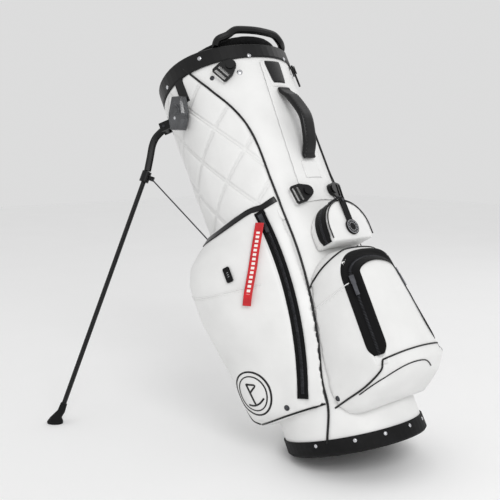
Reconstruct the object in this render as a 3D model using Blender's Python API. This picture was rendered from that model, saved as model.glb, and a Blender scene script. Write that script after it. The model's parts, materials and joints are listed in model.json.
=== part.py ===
"""Golf stand bag, leaning on its two legs: its structure, its soft pieces as plain solids, and its stand.

Everything on the bag is modelled upright in the bag's own frame (+X to the spine side, -Y to the near side,
+Z up the bag, origin on the bag's axis at the base) and hung on one empty, which leans the bag back.
The world origin is the middle of the heel's flat, on the ground. Metres throughout.
"""

import bmesh
import bpy
from math import atan, atan2, cos, pi, radians, sin, tan
from mathutils import Matrix, Vector

# Bag tube
LEAN = radians(29.0)
BAG_LENGTH = 0.822
TOP_RADIUS = 0.141
BASE_RADIUS = 0.131
WALL = 0.003
BAG_SIDES = 60
GAP = 0.0004
SKIN_GAP = 0.0012

# Boot: moulded cup round the base, its sole raked so that it lies flatter when the bag leans
BOOT_HEIGHT = 0.030
BOOT_WALL = 0.0035
SOLE_RAKE = 0.193
SOLE_THICKNESS = 0.012
HEEL_CUT = 0.009

# Cuff: moulded ring that caps the fabric tube
CUFF_HEIGHT = 0.036
CUFF_WALL = 0.0035
CUFF_LIP = 0.011
CUFF_DROP = 0.022
CUFF_BELLY_DROP = 0.006
CUFF_CAP = 0.005

# Hoop handle on the cuff
HOOP_RADIUS = 0.0078
HOOP_ANGLE = radians(43.0)
HOOP_RISE = 0.010
HOOP_REACH = 0.132
HOOP_BAR_HALF = 0.062

# Divider
DIVIDER_THICKNESS = 0.004
DIVIDER_DEPTH = 0.640
DIVIDER_STEPS = 8
CROWN_RADIUS = 0.010
CROWN_SLOPE = 0.100

# Stays between base and cuff
STAY_RADIUS = 0.0035
STAY_ANGLE = radians(100.0)

# Hip pad
PAD_BOTTOM = 0.350
PAD_TOP = 0.660
PAD_THICKNESS = 0.011
PAD_HALF_ANGLE = radians(21.0)

# Stand
PIVOT_HALF_SPREAD = 0.085
PIVOT_X = -0.140
PIVOT_Z = 0.770
FOOT_SPREAD = 0.341
FOOT_REACH = -0.4425
FOLDED_FOOT = Vector((-0.163, 0.072, 0.060))
PIN_RADIUS = 0.0032
BARREL_RADIUS = 0.0095
BARREL_LENGTH = 0.0185
CHEEK_THICKNESS = 0.005
BRACKET_HALF_ANGLE = radians(39.0)
ELBOW_RADIUS = 0.0085
COLLAR_ALONG = 0.118
COLLAR_RADIUS = 0.0105
COLLAR_LENGTH = 0.024
COLLAR_OUT = 0.005
LEG_RADIUS = 0.0052
FOOT_LENGTH = 0.046
WIRE_RADIUS = 0.0015
EYE_OUT = 0.017
YOKE_Z = 0.440
YOKE_X = -0.160
YOKE_HALF_WIDTH = 0.034
YOKE_DEPTH = 0.0130
ROD_RADIUS = 0.0025

# Side pockets, near and far
POCKET_BOTTOM = 0.080
POCKET_TOP = 0.474
POCKET_BACK = radians(141.0)
POCKET_DEPTH = 0.080
ZIP_WIDTH = 0.020
ZIP_THICKNESS = 0.004

# Accessory pocket on the spine side, above the ball pocket
ACCESSORY_HALF = 0.058
ACCESSORY_BOTTOM = 0.350
ACCESSORY_TOP = 0.434
ACCESSORY_FRONT = 0.178
ARCH_WIDTH = 0.022
ARCH_DEPTH = 0.003
DISC_RADIUS = 0.0155
DISC_DROP = 0.056
PEG_RADIUS = 0.0015

# Ball pocket
BALL_BOTTOM = 0.045
BALL_TOP = 0.340
BALL_FRONT = 0.206
BALL_ZIP_LOW = (0.199, 0.081, 0.128)
BALL_ZIP_HIGH = (0.187, 0.062, 0.282)
BALL_ARCH_RISE = 0.028
BALL_ARCH_BACK = 0.002
BALL_ZIP_WIDTH = 0.016

# Spine side
SPINE_BOTTOM = 0.452
SPINE_TOP = 0.765
SPINE_THICKNESS = 0.0015
PATCH_WIDTH = 0.040
PATCH_BOTTOM = 0.714
PATCH_TOP = 0.764
PATCH_THICKNESS = 0.003
HANDLE_TOP = 0.700
HANDLE_BOTTOM = 0.540
HANDLE_STAND = 0.027
HANDLE_WIDTH = 0.034
HANDLE_THICKNESS = 0.012

# Strap anchors
ANCHOR_RADIUS = 0.0125
POST_RADIUS = 0.0055
ANCHOR_THICKNESS = 0.003
LOOP_THICKNESS = 0.004
LOOP_WIDTH = 0.038
LOOP_REACH = 0.034
LOOP_BAR = 0.0055

# Clip-on case
CASE_ANGLE = radians(-84.0)
CASE_BOTTOM = 0.684
CASE_TOP = 0.752
CASE_WIDTH = 0.046
CASE_DEPTH = 0.021

# Ribbon on the near pocket's zip pull
RIBBON_WIDTH = 0.017
RIBBON_LENGTH = 0.158
RIBBON_THICKNESS = 0.0012

# Badge on the near pocket
BADGE_AT = (0.008, -0.190, 0.367)
BADGE_SIZE = (0.014, 0.030, 0.0015)

NEAR, FAR = -1, 1

for old in list(bpy.data.objects):
    bpy.data.objects.remove(old, do_unlink=True)

parts = bpy.data.collections.new("golf_stand_bag")
cutters = bpy.data.collections.new("cutters")
for group in (parts, cutters):
    bpy.context.scene.collection.children.link(group)
cutters.hide_render = True


# ---------------------------------------------------------------- helpers


def material(name, colour, roughness, metallic=0.0):
    made = bpy.data.materials.new(name)
    made.use_nodes = True
    shader = made.node_tree.nodes["Principled BSDF"]
    shader.inputs["Base Color"].default_value = (*colour, 1.0)
    shader.inputs["Roughness"].default_value = roughness
    shader.inputs["Metallic"].default_value = metallic
    made.diffuse_color = (*colour, 1.0)
    return made


def add_object(name, data, finish, parent, matrix=None):
    """One named sub-part, in the parts' collection, with its own finish, placed in its parent's frame."""
    made = bpy.data.objects.new(name, data)
    parts.objects.link(made)
    made.parent = parent
    if matrix is not None:
        made.matrix_basis = matrix
    colour, roughness, metallic = finish
    data.materials.clear()
    data.materials.append(material(name, colour, roughness, metallic))
    return made


def mesh_from(bm, name, smooth=True):
    bmesh.ops.recalc_face_normals(bm, faces=bm.faces[:])
    data = bpy.data.meshes.new(name)
    bm.to_mesh(data)
    bm.free()
    if smooth:
        data.shade_smooth()
        data.set_sharp_from_angle(angle=radians(40))
    return data


def turned(profile, sides):
    """A closed (radius, z) profile turned all the way round Z; points at radius 0 close the ends."""
    bm = bmesh.new()
    points = [bm.verts.new((r, 0, z)) for r, z in profile]
    pairs = list(zip(points, points[1:]))
    if profile[0][0] > 0:
        pairs.append((points[-1], points[0]))
    edges = [bm.edges.new(pair) for pair in pairs]
    bmesh.ops.spin(
        bm, geom=points + edges, cent=(0, 0, 0), axis=(0, 0, 1), angle=2 * pi, steps=sides, use_merge=True
    )
    bmesh.ops.remove_doubles(bm, verts=bm.verts[:], dist=1e-6)
    return bm


def swept(profile, angles):
    """A closed (radius, z) profile carried through the given angles about Z, capped at both ends."""
    return loft([[(r * cos(angle), r * sin(angle), z) for r, z in profile] for angle in angles])


def loft(sections):
    """A closed solid through loops of equal point count, capped at both ends."""
    bm = bmesh.new()
    loops = [[bm.verts.new(point) for point in section] for section in sections]
    count = len(loops[0])
    for below, above in zip(loops, loops[1:]):
        for i in range(count):
            j = (i + 1) % count
            bm.faces.new((below[i], below[j], above[j], above[i]))
    bm.faces.new(list(reversed(loops[0])))
    bm.faces.new(loops[-1])
    bmesh.ops.triangulate(bm, faces=[f for f in bm.faces if len(f.verts) > 4])
    return bm


def box(size, centre=(0, 0, 0)):
    bm = bmesh.new()
    bmesh.ops.create_cube(bm, size=1.0)
    bmesh.ops.scale(bm, vec=size, verts=bm.verts[:])
    bmesh.ops.translate(bm, vec=centre, verts=bm.verts[:])
    return bm


def rod(start, end, radius, sides=12, end_radius=None):
    """A straight round bar between two points."""
    bm = bmesh.new()
    along = Vector(end) - Vector(start)
    radii = (radius, radius if end_radius is None else end_radius)
    bmesh.ops.create_cone(
        bm, cap_ends=True, segments=sides, radius1=radii[0], radius2=radii[1], depth=along.length
    )
    turn = along.to_track_quat("Z", "Y").to_matrix().to_4x4()
    bmesh.ops.transform(bm, matrix=Matrix.Translation((Vector(start) + Vector(end)) / 2) @ turn, verts=bm.verts[:])
    return bm


def tube_curve(name, points, radius, resolution=2, smooth_steps=0, closed=False):
    """A round tube through points, as a curve with a bevel and filled caps."""
    if smooth_steps:
        points = smoothed(points, smooth_steps)
    data = bpy.data.curves.new(name, "CURVE")
    data.dimensions = "3D"
    data.bevel_depth = radius
    data.bevel_resolution = resolution
    data.use_fill_caps = not closed
    spline = data.splines.new("POLY")
    spline.points.add(len(points) - 1)
    for slot, point in zip(spline.points, points):
        slot.co = (*point, 1.0)
    spline.use_cyclic_u = closed
    return data


def flat_curve(name, outlines, thickness):
    """A flat plate with holes: closed outlines in XY, filled, extruded by half the thickness each way."""
    data = bpy.data.curves.new(name, "CURVE")
    data.dimensions = "2D"
    data.fill_mode = "BOTH"
    data.extrude = thickness / 2
    for outline in outlines:
        spline = data.splines.new("POLY")
        spline.points.add(len(outline) - 1)
        for slot, (x, y) in zip(spline.points, outline):
            slot.co = (x, y, 0, 1)
        spline.use_cyclic_u = True
    return data


def smoothed(points, steps):
    """Points along a Catmull-Rom curve through the given ones."""
    given = [Vector(p) for p in points]
    ends = [given[0] * 2 - given[1]] + given + [given[-1] * 2 - given[-2]]
    out = []
    for i in range(1, len(ends) - 2):
        a, b, c, d = ends[i - 1 : i + 3]
        for step in range(steps):
            t = step / steps
            out.append(
                0.5 * (2 * b + (c - a) * t + (2 * a - 5 * b + 4 * c - d) * t * t + (3 * b - a - 3 * c + d) * t ** 3)
            )
    return out + [given[-1]]


def between(value, table):
    """Straight-line reading of a table of (key, value) pairs in rising key order."""
    if value <= table[0][0]:
        return table[0][1]
    for (low, first), (high, second) in zip(table, table[1:]):
        if value <= high:
            return first + (second - first) * (value - low) / (high - low)
    return table[-1][1]


def rounded_outline(half_x, half_y, radius, steps=4):
    """A rectangle with round corners, in XY, anticlockwise."""
    out = []
    for quarter, (sx, sy) in enumerate(((1, 1), (-1, 1), (-1, -1), (1, -1))):
        for step in range(steps + 1):
            angle = (quarter + step / steps) * pi / 2
            out.append((sx * (half_x - radius) + radius * cos(angle), sy * (half_y - radius) + radius * sin(angle)))
    return out


def solid_from_curve(data, name):
    """A mesh of a curve, its caps welded, so that it can be cut or joined."""
    holder = bpy.data.objects.new(name + "_curve", data)
    cutters.objects.link(holder)
    bpy.context.view_layer.update()
    made = bpy.data.meshes.new_from_object(holder.evaluated_get(bpy.context.evaluated_depsgraph_get()))
    bpy.data.objects.remove(holder, do_unlink=True)
    bm = bmesh.new()
    bm.from_mesh(made)
    bmesh.ops.remove_doubles(bm, verts=bm.verts[:], dist=1e-5)
    return bm


def helper(name, bm, parent, matrix=None):
    """A cutter, or a shape that a Boolean joins on: never a part itself."""
    bmesh.ops.recalc_face_normals(bm, faces=bm.faces[:])
    data = bpy.data.meshes.new(name)
    bm.to_mesh(data)
    bm.free()
    made = bpy.data.objects.new(name, data)
    cutters.objects.link(made)
    made.parent = parent
    if matrix is not None:
        made.matrix_basis = matrix
    made.hide_render = True
    made.display_type = "WIRE"
    return made


def boolean(target, operation, other):
    modifier = target.modifiers.new(operation.lower(), "BOOLEAN")
    modifier.operation = operation
    modifier.solver = "EXACT"
    modifier.object = other


# ---------------------------------------------------------------- the bag's frame

SOLE_ANGLE = atan(SOLE_RAKE)
BOOT_RADIUS = BASE_RADIUS + BOOT_WALL + GAP


def sole_height(x):
    """Height of the raked sole under a point of the bag, in the bag's frame."""
    return -SOLE_RAKE * x


def leaned(point):
    """A point of the bag's frame, turned with the lean only."""
    return Matrix.Rotation(-LEAN, 3, "Y") @ Vector(point)


# The heel's corner is cut level with the ground, and the world origin is the middle of that flat
heel_corner = leaned((-BOOT_RADIUS, 0, sole_height(-BOOT_RADIUS)))
flat_before = HEEL_CUT / tan(pi / 2 - LEAN)
flat_after = HEEL_CUT / tan(LEAN - SOLE_ANGLE)
heel_middle = heel_corner + Vector(((flat_after - flat_before) / 2, 0, HEEL_CUT))

bag = bpy.data.objects.new("bag_frame", None)
parts.objects.link(bag)
bag.location = -heel_middle
bag.rotation_euler = (0, -LEAN, 0)
bag_matrix = Matrix.Translation(-heel_middle) @ Matrix.Rotation(-LEAN, 4, "Y")


def radius_at(z):
    return BASE_RADIUS + (TOP_RADIUS - BASE_RADIUS) * z / BAG_LENGTH


def on_bag(angle, z, out=0.0):
    """A point on the tube's outside, or standing out from it; the angle is from the spine, near side negative."""
    r = radius_at(z) + out
    return Vector((r * cos(angle), r * sin(angle), z))


def skin_frame(angle, z, out=0.0):
    """A frame on the skin: local Z points out of the bag, X goes round it towards the far side, Y goes up."""
    outward = Vector((cos(angle), sin(angle), 0))
    round_way = Vector((-sin(angle), cos(angle), 0))
    turn = Matrix((round_way, Vector((0, 0, 1)), outward)).transposed().to_4x4()
    return Matrix.Translation(on_bag(angle, z, out)) @ turn


def empty(name, matrix, parent):
    made = bpy.data.objects.new(name, None)
    parts.objects.link(made)
    made.parent = parent
    made.matrix_basis = matrix
    made.empty_display_size = 0.02
    return made


WHITE = ((0.80, 0.80, 0.80), 0.45, 0.0)
BLACK_PLASTIC = ((0.012, 0.012, 0.013), 0.42, 0.0)
BLACK_FABRIC = ((0.016, 0.016, 0.017), 0.85, 0.0)
BLACK_LEATHER = ((0.014, 0.014, 0.015), 0.50, 0.0)
CARBON = ((0.018, 0.018, 0.020), 0.35, 0.2)
STEEL = ((0.10, 0.10, 0.11), 0.35, 1.0)
RUBBER = ((0.014, 0.014, 0.014), 0.75, 0.0)
SMOKE = ((0.10, 0.10, 0.105), 0.20, 0.0)
RED = ((0.60, 0.010, 0.016), 0.60, 0.0)


# ---------------------------------------------------------------- tube, boot, cuff


def rim_drop(point):
    """The cuff dips towards the spine side, and a little towards the belly."""
    spine, belly = max(point.x, 0.0) / TOP_RADIUS, max(-point.x, 0.0) / TOP_RADIUS
    return -CUFF_DROP * spine ** 2 - CUFF_BELLY_DROP * belly ** 2


def drop_rim(bm, above):
    for vert in bm.verts:
        if vert.co.z > above:
            vert.co.z += rim_drop(vert.co)


def rake_sole(bm, below):
    for vert in bm.verts:
        if vert.co.z < below:
            vert.co.z += sole_height(vert.co.x)


def make_bag_body():
    floor = SOLE_THICKNESS + GAP
    bottom, top = BASE_RADIUS, radius_at(BAG_LENGTH)
    bm = turned(
        [
            (0, floor),
            (bottom, floor),
            (bottom, BOOT_HEIGHT),
            (top, BAG_LENGTH),
            (top - WALL, BAG_LENGTH),
            (bottom - WALL, BOOT_HEIGHT),
            (bottom - WALL, floor + WALL),
            (0, floor + WALL),
        ],
        BAG_SIDES,
    )
    rake_sole(bm, BOOT_HEIGHT + 0.001)
    drop_rim(bm, BAG_LENGTH - 0.001)
    return add_object("bag_body", mesh_from(bm, "bag_body"), WHITE, bag)


def make_boot():
    inner = BASE_RADIUS + GAP
    bm = turned(
        [
            (0, 0),
            (BOOT_RADIUS - 0.004, 0),
            (BOOT_RADIUS, 0.004),
            (BOOT_RADIUS, BOOT_HEIGHT),
            (inner, BOOT_HEIGHT),
            (inner, SOLE_THICKNESS),
            (0, SOLE_THICKNESS),
        ],
        BAG_SIDES,
    )
    rake_sole(bm, BOOT_HEIGHT + 0.001)
    boot = add_object("base_boot", mesh_from(bm, "base_boot"), RUBBER, bag)
    ground = helper("heel_cutter", box((0.6, 0.6, 0.1), (0, 0, -0.05)), bag, bag_matrix.inverted())
    boolean(boot, "DIFFERENCE", ground)
    return boot


def make_cuff():
    inside = radius_at(BAG_LENGTH) - WALL - GAP
    outside = radius_at(BAG_LENGTH) + GAP
    low, high = BAG_LENGTH - CUFF_HEIGHT + CUFF_CAP, BAG_LENGTH + CUFF_CAP
    bm = turned(
        [
            (outside, low),
            (outside + CUFF_WALL - 0.0015, low),
            (outside + CUFF_WALL, low + 0.003),
            (outside + CUFF_WALL, high - 0.002),
            (outside + CUFF_WALL - 0.002, high),
            (inside - CUFF_WALL + 0.001, high),
            (inside - CUFF_WALL, high - 0.002),
            (inside - CUFF_WALL, BAG_LENGTH - CUFF_LIP),
            (inside, BAG_LENGTH - CUFF_LIP),
            (inside, BAG_LENGTH + GAP),
            (outside, BAG_LENGTH + GAP),
        ],
        BAG_SIDES,
    )
    for vert in bm.verts:
        share = 1.0 if vert.co.z > BAG_LENGTH - CUFF_LIP - 0.001 else 0.75
        vert.co.z += share * rim_drop(vert.co)
    return add_object("top_cuff", mesh_from(bm, "top_cuff"), BLACK_PLASTIC, bag)


def make_hoop():
    """The grab handle across the spine side of the cuff, standing on two feet."""
    foot = on_bag(HOOP_ANGLE, BAG_LENGTH, -WALL - 0.002)
    foot.z += CUFF_CAP + 6 * GAP + rim_drop(foot - Vector((HOOP_RADIUS, 0, 0)))
    bar_z = BAG_LENGTH + CUFF_CAP + HOOP_RISE + HOOP_RADIUS
    half = [
        foot,
        (foot.x, foot.y, foot.z + 0.003),
        (foot.x + 0.010, foot.y - 0.003, foot.z + 0.011),
        (HOOP_REACH - 0.010, HOOP_BAR_HALF + 0.012, bar_z - 0.011),
        (HOOP_REACH - 0.003, HOOP_BAR_HALF - 0.006, bar_z - 0.002),
        (HOOP_REACH, HOOP_BAR_HALF * 0.5, bar_z),
    ]
    half = [Vector(p) for p in half]
    route = [Vector((p.x, -p.y, p.z)) for p in half] + [Vector((HOOP_REACH + 0.002, 0, bar_z))]
    route += list(reversed(half))
    data = tube_curve("cuff_hoop_handle", route, HOOP_RADIUS, 3, 4)
    return add_object("cuff_hoop_handle", data, BLACK_PLASTIC, bag)


# ---------------------------------------------------------------- inside the tube


def make_divider():
    """Two crossing panels that keep the clubs apart."""
    top = BAG_LENGTH - 0.030
    bottom = top - DIVIDER_DEPTH
    reach = radius_at(bottom) - WALL - 0.002
    half = DIVIDER_THICKNESS / 2
    middle = reach / 2
    corners = [(reach, -half), (reach, half), (middle, half), (half, half), (half, middle), (half, reach)]
    corners += [(-half, reach), (-half, middle), (-half, half), (-middle, half)]
    corners += [(-x, -y) for x, y in corners]
    levels = [bottom + (top - bottom) * i / DIVIDER_STEPS for i in range(DIVIDER_STEPS + 1)]
    bm = loft([[(x, y, z) for x, y in corners] for z in levels])
    return add_object("club_divider", mesh_from(bm, "club_divider", smooth=False), BLACK_FABRIC, bag)


def make_crown():
    """The padded ring and cross of the bag's mouth, higher on the spine side."""
    ring = radius_at(BAG_LENGTH) - WALL - CUFF_WALL - CROWN_RADIUS - 0.0060
    rise = 0.012

    def crown_point(x, y, arch=0.0):
        return (x, y, BAG_LENGTH - 0.003 + CROWN_SLOPE * x + arch)

    count = 40
    points = [crown_point(ring * cos(2 * pi * i / count), ring * sin(2 * pi * i / count)) for i in range(count)]
    bm = solid_from_curve(tube_curve("crown_ring", points, CROWN_RADIUS, 2, closed=True), "crown_ring")
    crown = add_object("divider_crown", mesh_from(bm, "divider_crown"), BLACK_FABRIC, bag)
    for name, direction in (("crown_bar_along", (1, 0)), ("crown_bar_across", (0, 1))):
        steps = [i / 10 * 2 - 1 for i in range(11)]
        route = [crown_point(ring * t * direction[0], ring * t * direction[1], rise * (1 - t * t)) for t in steps]
        bar = helper(name, solid_from_curve(tube_curve(name, route, CROWN_RADIUS * 0.85, 2), name), bag)
        boolean(crown, "UNION", bar)
    return crown


def make_stays():
    """Two springy rods that keep the tube straight, from the floor of the bag to the cuff."""
    low = SOLE_THICKNESS + GAP + WALL + 0.012
    high = BAG_LENGTH - CUFF_LIP - 0.004
    for name, side in (("stay_near", NEAR), ("stay_far", FAR)):
        ends = [on_bag(side * STAY_ANGLE, z, -WALL - STAY_RADIUS - 0.0015) for z in (low, high)]
        add_object(name, mesh_from(rod(*ends, STAY_RADIUS, 8), name), CARBON, bag)


def make_hip_pad():
    inner, outer = SKIN_GAP, SKIN_GAP + PAD_THICKNESS
    steps = 10
    angles = [pi - PAD_HALF_ANGLE + 2 * PAD_HALF_ANGLE * i / steps for i in range(steps + 1)]
    profile = [
        (radius_at(PAD_BOTTOM) + inner, PAD_BOTTOM),
        (radius_at(PAD_BOTTOM) + outer * 0.6, PAD_BOTTOM),
        (radius_at(PAD_BOTTOM) + outer, PAD_BOTTOM + 0.012),
        (radius_at(PAD_TOP) + outer, PAD_TOP - 0.012),
        (radius_at(PAD_TOP) + outer * 0.6, PAD_TOP),
        (radius_at(PAD_TOP) + inner, PAD_TOP),
    ]
    return add_object("hip_pad", mesh_from(swept(profile, angles), "hip_pad"), BLACK_FABRIC, bag)


# ---------------------------------------------------------------- stand


class Leg:
    """Where one leg of the stand is, in the bag's frame, at rest: standing on the ground."""

    def __init__(self, side):
        self.side = side
        self.word = "near" if side == NEAR else "far"
        self.pivot = Vector((PIVOT_X, side * PIVOT_HALF_SPREAD, PIVOT_Z))
        self.ground = bag_matrix.inverted() @ Vector((FOOT_REACH, side * FOOT_SPREAD, 0))
        out = (self.ground - self.pivot).normalized()
        folded = Vector((FOLDED_FOOT.x, side * FOLDED_FOOT.y, FOLDED_FOOT.z)) - self.pivot
        self.axis = out.cross(folded).normalized()
        self.fold = out.angle(folded)
        self.length = (self.ground - self.pivot).length
        inward = self.axis.cross(out)
        # Frame on the pivot: X runs down the leg, Y towards the bag, Z along the hinge
        turn = Matrix((out, inward, self.axis)).transposed().to_4x4()
        self.frame = Matrix.Translation(self.pivot) @ turn
        self.eye = Vector((COLLAR_ALONG, EYE_OUT - COLLAR_OUT, 0))
        self.hinge = empty(self.word + "_leg_hinge", self.frame, bag)

    def line(self, along):
        """The tube's centre line, which leaves the collar a little outside the pivot and ends over the foot."""
        return Vector((along, -COLLAR_OUT * (self.length - along) / (self.length - COLLAR_ALONG), 0))


def make_leg(leg):
    word, hinge = leg.word, leg.hinge
    pin_hole = rod((0, 0, -0.05), (0, 0, 0.05), PIN_RADIUS + GAP, 16)

    barrel = rod((0, 0, -BARREL_LENGTH / 2), (0, 0, BARREL_LENGTH / 2), BARREL_RADIUS, 20)
    elbow = add_object(word + "_leg_elbow", mesh_from(barrel, "barrel"), BLACK_PLASTIC, hinge)
    end = leg.line(COLLAR_ALONG - COLLAR_LENGTH / 2 - 0.0020)
    route = [(0, 0, 0), (0.016, -0.009, 0), (0.030, -0.0145, 0), (0.048, -0.0150, 0), (0.072, -0.0105, 0), end]
    arm = solid_from_curve(tube_curve("arm", route, ELBOW_RADIUS, 2, 3), "arm")
    boolean(elbow, "UNION", helper(word + "_elbow_arm", arm, hinge))
    boolean(elbow, "DIFFERENCE", helper(word + "_elbow_bore", pin_hole, hinge))

    collar_low = leg.line(COLLAR_ALONG + COLLAR_LENGTH / 2)
    collar_high = leg.line(COLLAR_ALONG - COLLAR_LENGTH / 2)
    collar = add_object(
        word + "_leg_collar", mesh_from(rod(collar_high, collar_low, COLLAR_RADIUS, 20), "collar"), BLACK_PLASTIC, hinge
    )
    lug = box((0.010, EYE_OUT, 0.006), (leg.eye.x, leg.eye.y - EYE_OUT / 2 + 0.004, 0))
    boolean(collar, "UNION", helper(word + "_collar_lug", lug, hinge))
    bore = rod(leg.line(COLLAR_ALONG - 0.05), leg.line(COLLAR_ALONG + 0.05), LEG_RADIUS + GAP, 16)
    boolean(collar, "DIFFERENCE", helper(word + "_collar_bore", bore, hinge))
    eye = rod(leg.eye - Vector((0, 0, 0.01)), leg.eye + Vector((0, 0, 0.01)), WIRE_RADIUS + 0.0006, 12)
    boolean(collar, "DIFFERENCE", helper(word + "_collar_eye", eye, hinge))

    tube_end = leg.line(leg.length - FOOT_LENGTH)
    tube = rod(leg.line(COLLAR_ALONG - COLLAR_LENGTH / 2 + GAP), tube_end, LEG_RADIUS, 12)
    add_object(word + "_leg_tube", mesh_from(tube, "tube"), CARBON, hinge)

    to_leg = (bag_matrix @ leg.frame).inverted()
    ground = bag_matrix @ leg.ground
    away = Vector((ground.x, ground.y, 0)).normalized()
    across = Vector((-away.y, away.x, 0))
    start = leg.line(leg.length - FOOT_LENGTH + GAP)
    sections = []
    down = (leg.line(leg.length) - leg.line(0)).normalized()
    toe = to_leg.to_3x3() @ away
    toe = (toe - down * toe.dot(down)).normalized()
    aside = down.cross(toe)
    if aside.dot(to_leg.to_3x3() @ across) < 0:
        aside = -aside
    for along, radius in ((0.0, LEG_RADIUS + 0.0018), (0.018, LEG_RADIUS + 0.0030)):
        turns = [2 * pi * i / 16 for i in range(16)]
        sections.append([start + down * along + (toe * cos(t) + aside * sin(t)) * radius for t in turns])
    pad = ((0.013, 0.013, 0.0105, 0.002), (0.004, 0.018, 0.013, 0.004), (0.0, 0.0175, 0.0125, 0.004))
    for height, half_long, half_wide, shift in pad:
        ring = []
        for i in range(16):
            angle = 2 * pi * i / 16
            flat = away * (shift + half_long * cos(angle)) + across * (half_wide * sin(angle))
            ring.append(to_leg @ (ground + flat + Vector((0, 0, height))))
        sections.append(ring)
    add_object(word + "_leg_foot", mesh_from(loft(sections), "foot"), RUBBER, hinge)

    cheek = BARREL_LENGTH / 2 + GAP + CHEEK_THICKNESS
    pin = rod((0, 0, -cheek - 0.0012), (0, 0, cheek + 0.0012), PIN_RADIUS, 16)
    add_object(word + "_pivot_pin", mesh_from(pin, "pin"), STEEL, bag, leg.frame)


def make_wire(leg):
    """The stay wire: its hooked end turns in the collar's eye, and its other end rides loose in the yoke."""
    yoke_end = leg.frame.inverted() @ Vector((YOKE_X, leg.side * YOKE_HALF_WIDTH * 0.55, YOKE_Z))
    hook = [leg.eye - Vector((0, 0, 0.006)), leg.eye, leg.eye + Vector((0, 0, 0.0065))]
    away = (yoke_end - leg.eye).normalized()
    hook += [leg.eye + Vector((0, 0, 0.0085)) + away * 0.003, leg.eye + Vector((0, 0, 0.0085)) + away * 0.010, yoke_end]
    hinge = empty(leg.word + "_wire_hinge", Matrix.Translation(leg.eye), leg.hinge)
    data = tube_curve(leg.word + "_stay_wire", [p - leg.eye for p in hook], WIRE_RADIUS, 2)
    add_object(leg.word + "_stay_wire", data, STEEL, hinge)


def make_bracket(legs):
    """The moulded bracket on the belly that carries both legs."""
    low = PIVOT_Z - 0.040
    high = BAG_LENGTH - CUFF_HEIGHT + CUFF_CAP - CUFF_BELLY_DROP - 0.001
    reach = BRACKET_HALF_ANGLE
    angles = [pi - reach + 2 * reach * i / 16 for i in range(17)]
    profile = [
        (radius_at(low) + SKIN_GAP, low),
        (radius_at(low) + SKIN_GAP + 0.003, low),
        (radius_at(low) + SKIN_GAP + 0.005, low + 0.004),
        (radius_at(high) + SKIN_GAP + 0.005, high),
        (radius_at(high) + SKIN_GAP, high),
    ]
    bracket = add_object("stand_bracket", mesh_from(swept(profile, angles), "stand_bracket"), BLACK_PLASTIC, bag)
    for leg in legs:
        inward = Vector((-leg.pivot.x, -leg.pivot.y, 0))
        inward = (inward - leg.axis * inward.dot(leg.axis)).normalized()
        reach = leg.pivot.xy.length - radius_at(PIVOT_Z) - SKIN_GAP - 0.001
        turn = Matrix((inward, leg.axis.cross(inward), leg.axis)).transposed().to_4x4()
        frame = Matrix.Translation(leg.pivot) @ turn
        for end in (-1, 1):
            plate = box(
                (reach + 0.009, 0.020, CHEEK_THICKNESS),
                ((reach - 0.009) / 2, 0, end * (BARREL_LENGTH / 2 + GAP + CHEEK_THICKNESS / 2)),
            )
            boolean(bracket, "UNION", helper(leg.word + "_cheek", plate, bag, frame))
        hole = rod((0, 0, -0.05), (0, 0, 0.05), PIN_RADIUS + GAP, 16)
        boolean(bracket, "DIFFERENCE", helper(leg.word + "_cheek_bore", hole, bag, leg.frame))
    return bracket


def make_yoke():
    """A trough across the belly that both wires end in, on a rod that slides in a sleeve."""
    wall, inside, floor, rim, width = 0.002, 0.0065, -YOKE_DEPTH, 0.004, YOKE_HALF_WIDTH
    # The floor runs a little past the two walls and a little below them
    plate = box(
        (2 * inside + wall, 2 * width + 0.0012, wall), (YOKE_X, 0, YOKE_Z + floor - wall / 2)
    )
    yoke = add_object("stand_yoke", mesh_from(plate, "stand_yoke", smooth=False), BLACK_PLASTIC, bag)
    low = floor - wall + 0.0004
    for way in (-1, 1):
        centre = (YOKE_X + way * (inside + wall / 2), 0, YOKE_Z + (rim + low) / 2)
        boolean(yoke, "UNION", helper("yoke_wall", box((wall, 2 * width, rim - low), centre), bag))
    sleeve_top, sleeve_bottom, rod_x = 0.290, 0.060, YOKE_X
    slide_rod = rod((rod_x, 0, YOKE_Z + floor - wall - GAP), (rod_x, 0, 0.160), ROD_RADIUS, 12)
    add_object("stand_rod", mesh_from(slide_rod, "stand_rod"), STEEL, bag)
    sleeve = rod((rod_x, 0, sleeve_bottom), (rod_x, 0, sleeve_top), ROD_RADIUS + 0.0022, 16)
    sleeve = add_object("rod_sleeve", mesh_from(sleeve, "rod_sleeve"), BLACK_PLASTIC, bag)
    for z in (sleeve_bottom + 0.015, sleeve_top - 0.015):
        reach = -rod_x - radius_at(z) - SKIN_GAP
        saddle = box((reach, 0.020, 0.014), (rod_x + reach / 2, 0, z))
        boolean(sleeve, "UNION", helper("sleeve_saddle", saddle, bag))
    bore = rod((rod_x, 0, sleeve_bottom - 0.01), (rod_x, 0, sleeve_top + 0.01), ROD_RADIUS + GAP, 16)
    boolean(sleeve, "DIFFERENCE", helper("sleeve_bore", bore, bag))
    return yoke


# ---------------------------------------------------------------- pockets

# How far the side pocket stands out, from its front edge (0) to its back edge (1), as a share of its depth
SIDE_BULGE = [
    (0.00, 0.03), (0.06, 0.06), (0.12, 0.10), (0.20, 0.16), (0.30, 0.27), (0.42, 0.45), (0.55, 0.67),
    (0.68, 0.87), (0.78, 0.99), (0.86, 0.93), (0.93, 0.62), (0.98, 0.22), (1.00, 0.03),
]
# How much of its depth it has at each height, as a share of the way from its bottom to its top
SIDE_FILL = [
    (0.00, 0.10), (0.02, 0.38), (0.05, 0.56), (0.12, 0.66), (0.30, 0.74), (0.40, 0.84), (0.60, 1.00),
    (0.78, 0.99), (0.87, 0.82), (0.93, 0.52), (0.97, 0.26), (1.00, 0.08),
]
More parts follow.
